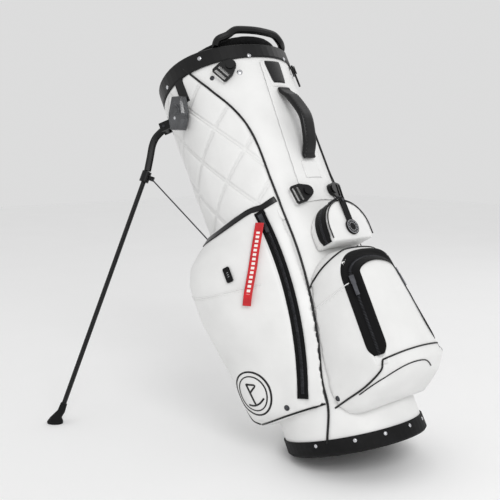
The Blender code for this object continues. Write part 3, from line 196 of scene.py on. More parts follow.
# Moulded rubber: matt, dusty in places, with a coarse grain
def mouldedRubber():
    look = {"black": "#060607", "dust": "#101011", "grain": 0.0014, "patch": 1 / 40}
    made, tree, shader, where = startMaterial("mouldedRubber", {"Roughness": 0.7, "Specular IOR Level": 0.25})
    dust = addNode(tree, "ShaderNodeTexNoise", {"Scale": 1 / look["patch"], "Detail": 6.0}, {"Vector": where})
    grain = addNode(tree, "ShaderNodeTexNoise", {"Scale": 1 / look["grain"]}, {"Vector": where})
    stops = (0.45, look["black"]), (0.8, look["dust"])
    dress(tree, shader, dust.outputs["Fac"], stops, grain.outputs["Fac"], 0.4, 0.0004)
    return made


# Smoke-tinted polycarbonate, gloss: see-through grey with faint moulding haze
def smokeShell():
    look = {"smoke": "#4A4B4E", "haze": "#636568", "cloud": 1 / 55}
    made, tree, shader, where = startMaterial(
        "smokePolycarbonate", {"Roughness": 0.16, "IOR": 1.58, "Transmission Weight": 0.45}
    )
    haze = addNode(tree, "ShaderNodeTexNoise", {"Scale": 1 / look["cloud"], "Detail": 3.0}, {"Vector": where})
    haze = haze.outputs["Fac"]
    dress(tree, shader, haze, ((0.35, look["smoke"]), (0.75, look["haze"])), haze, 0.05, 0.0004)
    return made


# Woven polyester ribbon, red, with plain white bars printed down it: fine cross ribs and a soft sheen
def printedRibbon():
    look = {
        "red": "#D01520", "deep": "#B00E18", "bars": "#F4EFEA", "barPitch": 0.0086, "barShare": 0.58,
        "barHalf": 0.0034, "printFrom": 0.018, "printTo": 0.138, "rib": 0.0016, "cloud": 1 / 70,
    }
    made, tree, shader, where = startMaterial(
        "wovenRedRibbon", {"Roughness": 0.55, "Sheen Weight": 0.3, "Sheen Roughness": 0.4}
    )
    own = addNode(tree, "ShaderNodeUVMap", uv_map="flat")
    split = addNode(tree, "ShaderNodeSeparateXYZ", links={"Vector": own.outputs["UV"]})
    across, down = split.outputs["X"], split.outputs["Y"]
    tone = addNode(tree, "ShaderNodeTexNoise", {"Scale": 1 / look["cloud"]}, {"Vector": where})
    red = addNode(
        tree, "ShaderNodeValToRGB", links={"Fac": tone.outputs["Fac"]},
        stops=((0.3, look["deep"]), (0.6, look["red"])),
    )
    own = addNode(tree, "ShaderNodeUVMap", uv_map="flat")
    split = addNode(tree, "ShaderNodeSeparateXYZ", links={"Vector": own.outputs["UV"]})
    across, down = split.outputs["X"], split.outputs["Y"]
    step = addNode(tree, "ShaderNodeMath", {1: look["barPitch"]}, {0: down}, operation="MODULO")
    painted = look["barPitch"] * look["barShare"]
    shown = addNode(tree, "ShaderNodeMath", {1: painted}, {0: step.outputs[0]}, operation="LESS_THAN")
    middle = addNode(tree, "ShaderNodeMath", {1: 0.0, 2: look["barHalf"]}, {0: across}, operation="COMPARE")
    first = addNode(tree, "ShaderNodeMath", {1: look["printFrom"]}, {0: down}, operation="GREATER_THAN")
    last = addNode(tree, "ShaderNodeMath", {1: look["printTo"]}, {0: down}, operation="LESS_THAN")
    printed = shown.outputs[0]
    for limit in (middle, first, last):
        printed = addNode(tree, "ShaderNodeMath", links={0: printed, 1: limit.outputs[0]}, operation="MULTIPLY")
        printed = printed.outputs[0]
    mixed = addNode(
        tree, "ShaderNodeMix", {7: hexColour(look["bars"])}, {0: printed, 6: red.outputs["Color"]}, data_type="RGBA"
    )
    tree.links.new(mixed.outputs[2], shader.inputs["Base Color"])
    ribs = addNode(tree, "ShaderNodeMath", {1: 2 * pi / look["rib"]}, {0: down}, operation="MULTIPLY")
    wave = addNode(tree, "ShaderNodeMath", links={0: ribs.outputs[0]}, operation="SINE")
    bump = addNode(tree, "ShaderNodeBump", {"Strength": 0.3, "Distance": 0.0002}, {"Height": wave.outputs[0]})
    tree.links.new(bump.outputs["Normal"], shader.inputs["Normal"])
    return made


# Bonded polyester sewing thread: small twisted highlights, painted into its colour as paler specks
def sewingThread(name, dark, pale, twist=1 / 900):
    made, tree, shader, where = startMaterial(name, {"Roughness": 0.6, "Sheen Weight": 0.2})
    # painted highlight: noise lightens the colour in small specks, standing in for light catching the twist
    paintedTwistHighlight = addNode(tree, "ShaderNodeTexNoise", {"Scale": 1 / twist}, {"Vector": where})
    dress(tree, shader, paintedTwistHighlight.outputs["Fac"], ((0.35, dark), (0.65, pale)))
    return made


finishes = {
    "white_shell": coatedLeather(),
    "black_moulding": mouldedBlack(),
    "black_leather": blackLeather(),
    "black_mesh_fabric": wovenBlack("airMeshBlack", 0.0026, "#060607", "#131315"),
    "zip_tape": wovenBlack("zipTapeBlack", 0.0019, "#070708", "#0F0F11"),
    "carbon_tube": carbonTwill(),
    "dark_steel": steelFinish("blackenedSteel", "#3A3A3D", "#55565A", 0.34),
    "rubber_sole": mouldedRubber(),
    "smoke_plastic": smokeShell(),
    "red_ribbon": printedRibbon(),
}
brightSteel = steelFinish("nickelPlatedBrass", "#B9BABD", "#DADBDE", 0.22)
whiteThread = sewingThread("bondedThreadWhite", "#D6D6D4", "#F2F2F0")
blackThread = sewingThread("bondedThreadBlack", "#161617", "#303032")
print("finishes made")

slotOf = {}
for entry in frame["record"]["subparts"]:
    slotOf[entry["node"]] = entry["material_slot"]
for name, cadNode in nodes.items():
    finish = finishes[slotOf.get(name, "black_moulding")]
    for slot in cadNode.material_slots:
        slot.material = finish

view = {"place": (1.0556, -1.1408, 0.6058), "aim": (-0.1905, 0.0, 0.3754), "lens": 56.43, "sensor": 36.0}
lens = bpy.data.cameras.new("studioCamera")
lens.lens = view["lens"]
lens.sensor_width = view["sensor"]
camera = bpy.data.objects.new("studioCamera", lens)
scene.collection.objects.link(camera)
camera.location = view["place"]
camera.rotation_euler = (Vector(view["aim"]) - Vector(view["place"])).to_track_quat("-Z", "Y").to_euler()
scene.camera = camera

studio = {
    "floor": "#FDFDFD",
    "floorShade": "#FAFAFA",
    "floorHalf": 6.0,
    "sky": 0.72,
    "lampAim": (-0.1, 0.0, 0.4),
    "lamps": [
        ("keyLamp", (2.2, -1.2, 2.1), 1.4, 30.0),
        ("fillLamp", (-1.8, -2.0, 1.8), 1.8, 1.0),
        ("rimLamp", (0.3, 2.4, 1.9), 1.6, 6.0),
    ],
}
floorMesh = bmesh.new()
bmesh.ops.create_grid(floorMesh, x_segments=8, y_segments=8, size=studio["floorHalf"])
floorData = bpy.data.meshes.new("studioFloor")
floorMesh.to_mesh(floorData)
floorMesh.free()
floor = bpy.data.objects.new("studioFloor", floorData)
scene.collection.objects.link(floor)
floorFinish, floorTree, floorShader, floorWhere = startMaterial("seamlessPaper", {"Roughness": 0.9})
paper = addNode(floorTree, "ShaderNodeTexNoise", {"Scale": 3.0}, {"Vector": floorWhere})
dress(floorTree, floorShader, paper.outputs["Fac"], ((0.0, studio["floorShade"]), (1.0, studio["floor"])))
floorData.materials.append(floorFinish)

world = bpy.data.worlds.new("studioAir")
world.use_nodes = True
scene.world = world
scene.view_settings.view_transform = "Standard"
background = world.node_tree.nodes["Background"].inputs
background["Color"].default_value = hexColour("#FFFFFF")
background["Strength"].default_value = studio["sky"]
for name, place, size, power in studio["lamps"]:
    light = bpy.data.lights.new(name, "AREA")
    light.shape = "DISK"
    light.size = size
    light.energy = power
    lamp = bpy.data.objects.new(name, light)
    scene.collection.objects.link(lamp)
    lamp.location = place
    lamp.rotation_euler = (Vector(studio["lampAim"]) - Vector(place)).to_track_quat("-Z", "Y").to_euler()
print("camera and lights set")


def newPiece(name, bm, body, slot, material=None, replaces=(), smooth=True):
    data = bpy.data.meshes.new(name)
    bm.to_mesh(data)
    bm.free()
    made = bpy.data.objects.new(name, data)
    scene.collection.objects.link(made)
    data.materials.append(material or finishes[slot])
    if smooth:
        data.shade_smooth()
    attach(made, body)
    if replaces:
        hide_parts(*replaces)
    return made


def treeOf(*objects):  # what the seams and bands are laid on
    bm = bmesh.new()
    for source in objects:
        bm.from_mesh(source.data)
    made = BVHTree.FromBMesh(bm)
    bm.free()
    return made


laying = {"from": 0.34, "straighten": 0.6, "mostLift": 0.006}  # rays start this far from the bag's axis
middleRadius = 0.136
degreeLength = middleRadius * pi / 180  # a degree round the bag, in metres
curveSteps = 24
turnOnly = leaning.to_3x3()
spineWay = turnOnly @ Vector((1, 0, 0))


def layOn(skin, angle, z, out=0.0):  # the skin's point straight in from outside, and which way it faces
    turn = radians(angle)
    inward = turnOnly @ Vector((-cos(turn), -sin(turn), 0.0))
    start = leaning @ Vector((laying["from"] * cos(turn), laying["from"] * sin(turn), z))
    hit, normal, _, _ = skin.ray_cast(start, inward)
    if hit is None:
        hit, normal = bagPoint(angle, z), -inward
    if normal.dot(inward) > 0:
        normal = -normal
    normal = (normal - inward * laying["straighten"]).normalized()
    return hit + normal * out, normal


def runsOf(points):  # the length so far at each point
    runs = [0.0]
    for a, b in zip(points, points[1:]):
        runs.append(runs[-1] + (b - a).length)
    return runs


def whereOn(runs, want):  # the step that a length falls in, and how far along that step
    k = 0
    while k < len(runs) - 2 and runs[k + 1] < want:
        k += 1
    return k, (want - runs[k]) / max(runs[k + 1] - runs[k], 1e-9)


def smoothPath(points, count):  # a rounded path through a few marks, evenly stepped
    marks = [Vector(p) for p in points]
    marks = [2 * marks[0] - marks[1]] + marks + [2 * marks[-1] - marks[-2]]
    fine = []
    for i in range(1, len(marks) - 2):
        a, b, c, d = marks[i - 1:i + 3]
        for k in range(curveSteps):
            t = k / curveSteps
            bend = (2 * a - 5 * b + 4 * c - d) * t * t + (3 * b - a - 3 * c + d) * t ** 3
            fine.append(0.5 * (2 * b + (c - a) * t + bend))
    fine.append(marks[-2])
    runs, made = runsOf(fine), []
    for i in range(count):
        k, share = whereOn(runs, runs[-1] * i / (count - 1))
        made.append(fine[k].lerp(fine[k + 1], min(max(share, 0.0), 1.0)))
    return made


def pathOnBag(marks, count):  # (angle, height) marks, stepped evenly along the skin
    flat = smoothPath([(a * degreeLength, z, 0.0) for a, z in marks], count)
    return [(p.x / degreeLength, p.y) for p in flat]


def evenOut(points, times=3):
    for _ in range(times):
        points = [points[0]] + [
            (points[i - 1] + points[i] * 2 + points[i + 1]) / 4 for i in range(1, len(points) - 1)
        ] + [points[-1]]
    return points


def cordMesh(points, radius, sides=8):  # a round welt that follows the points
    curve = bpy.data.curves.new("welt", "CURVE")
    curve.dimensions = "3D"
    curve.bevel_depth = radius
    curve.bevel_resolution = max(sides // 4 - 1, 1)
    curve.use_fill_caps = True
    line = curve.splines.new("POLY")
    line.points.add(len(points) - 1)
    for slot, point in zip(line.points, points):
        slot.co = (*point, 1.0)
    holder = bpy.data.objects.new("welt", curve)
    scene.collection.objects.link(holder)
    data = bpy.data.meshes.new_from_object(holder.evaluated_get(bpy.context.evaluated_depsgraph_get()))
    bpy.data.objects.remove(holder)
    bm = bmesh.new()
    bm.from_mesh(data)
    bmesh.ops.remove_doubles(bm, verts=bm.verts, dist=1e-6)
    bmesh.ops.recalc_face_normals(bm, faces=bm.faces)
    return bm


def weltPiece(name, marks, skin, radius, body, slot, proud=0.55, count=90):
    line = evenOut([layOn(skin, angle, z, radius * proud)[0] for angle, z in pathOnBag(marks, count)])
    for i, point in enumerate(line):  # what the smoothing sank comes back out on the skin
        local = upright @ point
        over = layOn(skin, degrees(atan2(local.y, local.x)), local.z, radius * proud)[0]
        outward = turnOnly @ Vector((local.x, local.y, 0.0)).normalized()
        if 0 < (over - point).dot(outward) < laying["mostLift"]:
            line[i] = over
    return newPiece(name, cordMesh(evenOut(line, 1), radius), body, slot)


def bandPiece(name, marks, skin, width, thick, body, slot, proud=0.0008, count=90, across=6, material=None):
    path = pathOnBag(marks, count)
    bm = bmesh.new()
    bmesh.ops.create_grid(bm, x_segments=count - 1, y_segments=across, size=0.5)
    centres = []
    for i, (angle, z) in enumerate(path):
        before, after = path[max(i - 1, 0)], path[min(i + 1, count - 1)]
        along = Vector(((after[0] - before[0]) * degreeLength, after[1] - before[1])).normalized()
        row = []
        for k in range(across + 1):
            aside = (k / across - 0.5) * width
            row.append(layOn(skin, angle - along.y * aside / degreeLength, z + along.x * aside, proud))
        centres.append([p for p, _ in row])
        if i == count // 2:
            middleNormal = row[across // 2][1]
    for k in range(across + 1):
        column = evenOut([centres[i][k] for i in range(count)], 4)
        for i in range(count):
            centres[i][k] = column[i]
    for vert in bm.verts:
        i = round((vert.co.x + 0.5) * (count - 1))
        k = round((vert.co.y + 0.5) * across)
        vert.co = centres[i][k]
    facingOut(bm, middleNormal)
    made = newPiece(name, bm, body, slot, material)
    return walled(made, thick)


def standing(place, way):  # puts what is drawn up the Z axis at a place, along a way
    return Matrix.Translation(place) @ way.to_track_quat("Z", "Y").to_matrix().to_4x4()


def shortRod(bm, place, way, radius, length):
    bmesh.ops.create_cone(
        bm, cap_ends=True, segments=6, radius1=radius, radius2=radius, depth=length, matrix=standing(place, way)
    )


def rowOfStitches(name, marks, skin, body, pitch=0.0052, length=0.0034, radius=0.0005, slot="white_shell"):
    run = runsOf(smoothPath([(a * degreeLength, z, 0.0) for a, z in marks], 60))[-1]
    count = max(int(run / pitch), 2)
    path = pathOnBag(marks, count * 2 + 1)
    bm = bmesh.new()
    for i in range(count):
        start = layOn(skin, *path[2 * i], radius * 0.6)[0]
        end = layOn(skin, *path[2 * i + 1], radius * 0.6)[0]
        shortRod(bm, (start + end) / 2, end - start, radius * 0.9, length)
    return newPiece(name, bm, body, slot, whiteThread)


def studPiece(name, place, facing, radius, height, body, slot="dark_steel", material=None):
    # a domed rivet with a rolled rim, turned from its half profile
    profile = [(0, 1.0), (0.45, 0.93), (0.72, 0.72), (0.86, 0.42), (1.0, 0.34), (1.04, 0.12), (1.0, -0.3)]
    bm = bmesh.new()
    points = [bm.verts.new((r * radius, 0, h * height)) for r, h in profile]
    edges = [bm.edges.new(pair) for pair in zip(points, points[1:])]
    bmesh.ops.spin(
        bm, geom=points + edges, cent=(0, 0, 0), axis=(0, 0, 1), angle=2 * pi, steps=20, use_merge=True
    )
    bmesh.ops.remove_doubles(bm, verts=bm.verts, dist=1e-6)
    bmesh.ops.holes_fill(bm, edges=[e for e in bm.edges if e.is_boundary], sides=64)
    bmesh.ops.recalc_face_normals(bm, faces=bm.faces)
    bmesh.ops.transform(bm, matrix=standing(place, facing), verts=bm.verts)
    return newPiece(name, bm, body, slot, material)


def applied(made):  # the mesh with its modifiers worked in, and none left
    graph = bpy.context.evaluated_depsgraph_get()
    data = bpy.data.meshes.new_from_object(made.evaluated_get(graph))
    made.modifiers.clear()
    made.data = data
    return made


def walled(made, thick, offset=1.0):
    wall = made.modifiers.new("wall", "SOLIDIFY")
    wall.thickness, wall.offset = thick, offset
    return applied(made)


def facingOut(bm, way):  # turns an open sheet over when it faces the wrong way
    bm.normal_update()
    if sum(face.normal.dot(way) for face in bm.faces) < 0:
        bmesh.ops.reverse_faces(bm, faces=bm.faces)


def softCopy(name, source, body, slot, voxel):
    bm = bmesh.new()
    bm.from_mesh(nodes[source].data)
    bmesh.ops.remove_doubles(bm, verts=bm.verts, dist=1e-5)
    bmesh.ops.recalc_face_normals(bm, faces=bm.faces)
    made = newPiece(name, bm, body, slot, None, (source,))
    remesh = made.modifiers.new("evenSkin", "REMESH")
    remesh.mode = "VOXEL"
    remesh.voxel_size = voxel
    return applied(made)


air = {
    "quality": 5, "mass": 0.3, "stretch": 12, "bend": 0.6, "frames": 20, "seam": 0.003,
    "backFrom": 0.004, "backOver": 0.012, "quickShare": 0.8, "settle": 0.5, "settleTimes": 4,
}


def nearestOf(points):
    lines = KDTree(len(points))
    for i, point in enumerate(points):
        lines.insert(point, i)
    lines.balance()
    return lines


def fill(made, holdLines, pressure, cap, reach, backed=True):
    # swells the skin by simulated air, held along its seams and where it lies on the bag
    lines = nearestOf(holdLines or [Vector((9, 9, 9))])  # with no seam, one far-off point holds nothing
    freedom = []
    for vert in made.data.vertices:
        near = lines.find(vert.co)[2]
        free = min(max((near - air["seam"]) / reach, 0.0), 1.0)
        free = free * free * (3 - 2 * free)
        if backed:
            local = upright @ vert.co
            stand = hypot(local.x, local.y) - radiusAt(local.z)
            free *= min(max((stand - air["backFrom"]) / air["backOver"], 0.0), 1.0)
        freedom.append(free)
    start = [vert.co.copy() for vert in made.data.vertices]
    group = made.vertex_groups.new(name="sewn")
    for i, free in enumerate(freedom):
        group.add([i], 1.0 - free, "REPLACE")
    cloth = made.modifiers.new("air", "CLOTH")
    cloth.settings.quality = air["quality"]
    cloth.settings.mass = air["mass"]
    cloth.settings.use_pressure = True
    cloth.settings.uniform_pressure_force = pressure
    cloth.settings.tension_stiffness = cloth.settings.compression_stiffness = air["stretch"]
    cloth.settings.bending_stiffness = air["bend"]
    cloth.settings.vertex_group_mass = "sewn"
    cloth.settings.effector_weights.gravity = 0
    cloth.collision_settings.use_collision = False
    cloth.point_cache.frame_start, cloth.point_cache.frame_end = 1, air["frames"]
    for step in range(air["frames"]):
        scene.frame_set(step + 1)
    applied(made)
    scene.frame_set(1)
    for i, vert in enumerate(made.data.vertices):
        move = (vert.co - start[i]) * freedom[i]
        if move.length > cap:
            move *= cap / move.length
        vert.co = start[i] + move
    settle = made.modifiers.new("settle", "SMOOTH")
    settle.factor, settle.iterations = air["settle"], air["settleTimes"]
    finer = made.modifiers.new("finer", "SUBSURF")
    finer.levels = finer.render_levels = 1
    applied(made)
    made.data.shade_smooth()
    return made


def zipTeeth(name, path, body, width=0.0062, radius=0.000832, stand=0.0004):  # path of (point, across, out)
    bm = bmesh.new()
    for point, across, out in path:
        shortRod(bm, point + out * stand, across, radius, width)
    return newPiece(name, bm, body, "dark_steel")


# The fabric tube, raked at the foot like the boot below it
tube = {
    "sides": 180, "levels": 56, "bottom": 0.0145, "top": 0.792, "wall": 0.003,
    "rake": 0.193, "rakeEnd": 0.10, "slack": 0.0010, "folds": 3, "twist": 9,
}
tubeRun = tube["top"] - tube["bottom"]
bm = bmesh.new()
profile = []
for i in range(tube["levels"] + 1):
    z = tube["bottom"] + tubeRun * i / tube["levels"]
    profile.append((radiusAt(z), z))
profile += [(r - tube["wall"], z) for r, z in reversed(profile)]
points = [bm.verts.new((r, 0, z)) for r, z in profile]
edges = [bm.edges.new(pair) for pair in zip(points, points[1:] + points[:1])]
bmesh.ops.spin(
    bm, geom=points + edges, cent=(0, 0, 0), axis=(0, 0, 1), angle=2 * pi, steps=tube["sides"], use_merge=True
)
bmesh.ops.remove_doubles(bm, verts=bm.verts, dist=1e-6)
for vert in bm.verts:  # slow slack of cloth between its seams
    turn = atan2(vert.co.y, vert.co.x)
    rise = sin(pi * (vert.co.z - tube["bottom"]) / tubeRun)
    wave = 0.5 + 0.5 * cos(tube["folds"] * turn + tube["twist"] * vert.co.z)
    shrink = 1 - tube["slack"] / middleRadius * wave * rise
    vert.co.x *= shrink
    vert.co.y *= shrink
    low = min(max((tube["rakeEnd"] - vert.co.z) / (tube["rakeEnd"] - tube["bottom"]), 0.0), 1.0)
    vert.co.z -= tube["rake"] * vert.co.x * low
bmesh.ops.recalc_face_normals(bm, faces=bm.faces)
bmesh.ops.transform(bm, matrix=leaning, verts=bm.verts)
bagTube = newPiece("bagTube", bm, "bag", "white_shell", None, ("bag_body",))
tubeSkin = treeOf(bagTube)

# The long welt from cuff to boot, as (angle, height) marks on the near side
mainWelt = [
    (-76, 0.806), (-74, 0.799), (-60, 0.736), (-49, 0.687), (-42, 0.641), (-39, 0.587), (-39, 0.485),
    (-38, 0.375), (-41, 0.285), (-48, 0.194), (-56, 0.124), (-59, 0.072), (-70, 0.015),
]


def weltAngle(z):  # the main welt's angle at a height, on the near side
    for (a, high), (b, low) in zip(mainWelt, mainWelt[1:]):
        if low <= z <= high:
            return b + (a - b) * (z - low) / (high - low)
    return mainWelt[0][0] if z > mainWelt[0][1] else mainWelt[-1][0]


# Two crossing sets of paired stitch lines; each is given by two (angle, height) marks and the step between lines
quilt = {
    "bottom": 0.430, "top": 0.790, "backAngle": -146.0, "columns": 130, "rows": 190,
    "puff": 0.0046, "groove": 0.0022, "pair": 0.0052, "stand": 0.0006, "rim": 0.010, "cloth": 0.0007,
    "falling": ((-79.5, 0.702), (-44.0, 0.566), 0.0705), "rising": ((-55.5, 0.680), (-108.1, 0.579), 0.0770),
    "low": 0.45, "grooveShare": 0.85,
}


def stitchSet(first, second, step):  # a line's start and the way across it, on the skin laid flat
    run = Vector(((second[0] - first[0]) * degreeLength, second[1] - first[1])).normalized()
    return Vector((first[0] * degreeLength, first[1])), Vector((-run.y, run.x)), step


quiltSets = [stitchSet(*quilt["falling"]), stitchSet(*quilt["rising"])]


def quiltHeight(s, z):
    rise, groove = 1.0, 0.0
    for start, across, step in quiltSets:
        value = (s - start.x) * across.x + (z - start.y) * across.y
        off = abs(((value / step + 0.5) % 1.0 - 0.5) * step)
        line = abs(off - quilt["pair"] / 2)
        groove = max(groove, 1 - min(line / quilt["groove"], 1.0) ** 2)
        rise = min(rise, min(off / (step / 2), 1.0) ** 0.5)
    return quilt["puff"] * (quilt["low"] + (1 - quilt["low"]) * rise) * (1 - quilt["grooveShare"] * groove)


def quiltedPanel(name, side):
    bm = bmesh.new()
    bmesh.ops.create_grid(bm, x_segments=quilt["columns"], y_segments=quilt["rows"], size=0.5)
    for vert in bm.verts:
        u, v = vert.co.x + 0.5, vert.co.y + 0.5
        z = quilt["bottom"] + (quilt["top"] - quilt["bottom"]) * v
        edge = weltAngle(z)
        angle = edge + (quilt["backAngle"] - edge) * u
        rim = min(u * abs(quilt["backAngle"] - edge) * degreeLength, (1 - u) * 0.2, v * 0.36, (1 - v) * 0.36)
        rim = min(rim / quilt["rim"], 1.0)
        out = quilt["stand"] + quiltHeight(angle * degreeLength, z) * rim * (2 - rim)
        vert.co = bagPoint(side * -angle, z, out)
    facingOut(bm, Vector((0, side, 0)))
    made = newPiece(name, bm, "bag", "white_shell")
    return walled(made, quilt["cloth"], -1.0)


nearQuilt = quiltedPanel("nearQuiltedPanel", -1)
farQuilt = quiltedPanel("farQuiltedPanel", 1)
print("tube and quilting made")


sinking = {"depth": 0.0006, "fade": 0.005, "reach": 0.012}


def sinkUnder(made, path, half):  # lets the skin dip under a zip
    lines = nearestOf([point for point, _, _ in path])
    for vert in made.data.vertices:
        _, i, near = lines.find(vert.co)
        point, across, out = path[i]
        if near > half + sinking["reach"]:
            continue
        off = vert.co - point
        rise = off.dot(out)
        share = min(max((half + sinking["fade"] - abs(off.dot(across))) / sinking["fade"], 0.0), 1.0)
        if rise > -sinking["depth"]:
            vert.co -= out * (rise + sinking["depth"]) * share
    return made


pocketSeams = {
    "topBinding": [(-41, 0.474), (-53, 0.468), (-64, 0.470), (-97, 0.459), (-131, 0.470)],
    "crossSeam": [(-137, 0.392), (-110, 0.352), (-89, 0.336), (-71, 0.326)],
    "bottomSeam": [(-136, 0.090), (-112, 0.087), (-94, 0.086), (-74, 0.084), (-60, 0.082)],
    "backSeam": [(-139, 0.470), (-139, 0.300), (-139, 0.095)],
    "backWelt": [(-137, 0.396), (-133, 0.34), (-129, 0.26), (-128, 0.18), (-128, 0.12), (-125, 0.090)],
    "frontSeam": [(-40, 0.47), (-41, 0.38), (-43, 0.28), (-50, 0.19), (-58, 0.10)],
    "zip": [(56.7, 0.462, 0.00696), (55.2, 0.300, 0.0131), (74.2, 0.104, 0.01182)], "zipHold": 0.010,
    "zipHalf": 0.0085, "cap": 0.0075, "pressure": 4.0, "voxel": 0.0045, "reach": 0.034,
}


def circleThrough(first, middle, last, count):  # evenly stepped points on the arc
    a, b = middle - first, last - first
    axis = a.cross(b)
    centre = first + (axis.cross(a) * b.length_squared + b.cross(axis) * a.length_squared) / (2 * axis.length_squared)
    axis.normalize()
    whole = (first - centre).angle(last - centre)
    return [centre + Matrix.Rotation(whole * i / (count - 1), 3, axis) @ (first - centre) for i in range(count)]


def zipPathOf(side, count):
    top, middle, bottom = [bagPoint(side * a, z, out) for a, z, out in pocketSeams["zip"]]
    points = circleThrough(top, middle, bottom, count)
    local = upright @ middle
    outward = turnOnly @ Vector((local.x, local.y, 0.0)).normalized()
    path = []
    for i, point in enumerate(points):
        along = (points[min(i + 1, count - 1)] - points[max(i - 1, 0)]).normalized()
        across = along.cross(outward).normalized()
        path.append((point, across, across.cross(along).normalized()))
    return path


def sidePocket(word, side):
    cad = treeOf(nodes[word + "_side_pocket"])
    held = []
    for p, across, _ in zipPathOf(side, 60):
        held += [p, p + across * pocketSeams["zipHold"], p - across * pocketSeams["zipHold"]]
    for seam in ("topBinding", "crossSeam", "bottomSeam", "backSeam", "frontSeam"):
        for angle, z in pathOnBag(pocketSeams[seam], 60):
            held.append(layOn(cad, -side * angle, z)[0])
    made = softCopy(word + "SidePocket", word + "_side_pocket", "bag", "white_shell", pocketSeams["voxel"])
    fill(made, held, pocketSeams["pressure"], pocketSeams["cap"], pocketSeams["reach"])
    return sinkUnder(made, zipPathOf(side, 200), pocketSeams["zipHalf"])


nearPocket = sidePocket("near", -1)
farPocket = sidePocket("far", 1)
print("side pockets filled")

ballSeams = {
    "sideTop": [(-41, 0.288), (-27, 0.316), (-12, 0.334), (0, 0.337)],
    "second": [(-44, 0.246), (-32, 0.256), (-20, 0.268)],
    "lower": [(-22, 0.117), (-25, 0.100), (-33, 0.084), (-44, 0.075), (-54, 0.069)],
    "frontFoot": [(-22, 0.118), (-11, 0.121), (0, 0.122), (11, 0.121), (22, 0.118)],
    "under": [(-36, 0.076), (-22, 0.090), (-8, 0.098), (5, 0.096), (12, 0.084)],
    "cap": 0.006, "pressure": 4.0, "voxel": 0.0045, "reach": 0.030,
}


def ballZipPath(count):
    low, high = Vector((0.199, 0.081, 0.128)), Vector((0.187, 0.062, 0.282))
    rise, back, steps = 0.028, 0.002, 14
    legOut = Vector((1, 1, 0)).normalized()
    far = [(low.lerp(high, i / 20), legOut) for i in range(20)]
    for i in range(steps + 1):
        turn = pi / 2 * i / steps
        point = high + Vector((back * sin(turn), -high.y * (1 - cos(turn)), rise * sin(turn)))
        far.append((point, Vector((1, cos(turn), sin(turn))).normalized()))
    near = [(Vector((p.x, -p.y, p.z)), Vector((o.x, -o.y, o.z))) for p, o in far[:-1]]
    return stepped(near + list(reversed(far)), count)


def accessoryZipPath(count):
    half, bottom, spring, x = 0.058, 0.354, 0.376, 0.158
    path = [(Vector((x, -half, bottom + (spring - bottom) * i / 6)), Vector((0, -1, 0))) for i in range(6)]
    for i in range(25):
        turn = pi * i / 24
        out = Vector((0, -cos(turn), sin(turn)))
        path.append((Vector((x, 0, spring)) + out * half, out))
    path += [(Vector((x, half, spring - (spring - bottom) * i / 6)), Vector((0, 1, 0))) for i in range(1, 7)]
    return stepped(path, count)


def stepped(path, count):  # evenly spaced (point, across, out) where the bag stands, from a path in its own frame
    runs, made = runsOf([point for point, _ in path]), []
    for i in range(count):
        k, share = whereOn(runs, runs[-1] * i / (count - 1))
        point = path[k][0].lerp(path[k + 1][0], share)
        out = path[k][1].lerp(path[k + 1][1], share)
        along = (path[k + 1][0] - path[k][0]).normalized()
        across = along.cross(out).normalized()
        out = across.cross(along).normalized()
        made.append((leaning @ point, turnOnly @ across, turnOnly @ out))
    return made


def frontPocket(name, source, seams, zipPath, zipHalf):
    cad = treeOf(nodes[source])
    held = []
    for point, across, _ in zipPath:
        held += [point, point + across * zipHalf, point - across * zipHalf]
    for seam in seams:
        for side in (1, -1):
            for angle, z in pathOnBag(seam, 40):
                held.append(layOn(cad, side * angle, z)[0])
    made = softCopy(name, source, "bag", "white_shell", ballSeams["voxel"])
    fill(made, held, ballSeams["pressure"], ballSeams["cap"], ballSeams["reach"])
    return sinkUnder(made, zipPath, zipHalf)


ballHeld = [ballSeams[seam] for seam in ("sideTop", "second", "lower", "frontFoot")]
ballPocket = frontPocket("ballPocket", "ball_pocket", ballHeld, ballZipPath(160), 0.008)
accessoryPocket = frontPocket("accessoryPocket", "accessory_pocket", [], accessoryZipPath(60), 0.012)
print("front pockets filled")

softPads = {"voxel": 0.004, "reach": 0.01, "hipAir": 4.0, "hipCap": 0.006, "crownAir": 3.0, "crownCap": 0.003}
hipPad = softCopy("hipPad", "hip_pad", "bag", "black_mesh_fabric", softPads["voxel"])
fill(hipPad, [], softPads["hipAir"], softPads["hipCap"], softPads["reach"])
crown = softCopy("dividerCrown", "divider_crown", "bag", "black_mesh_fabric", softPads["voxel"])
fill(crown, [], softPads["crownAir"], softPads["crownCap"], softPads["reach"], backed=False)
print("pads filled")

allSkins = treeOf(bagTube, nearQuilt, farQuilt, nearPocket, farPocket, ballPocket, accessoryPocket)

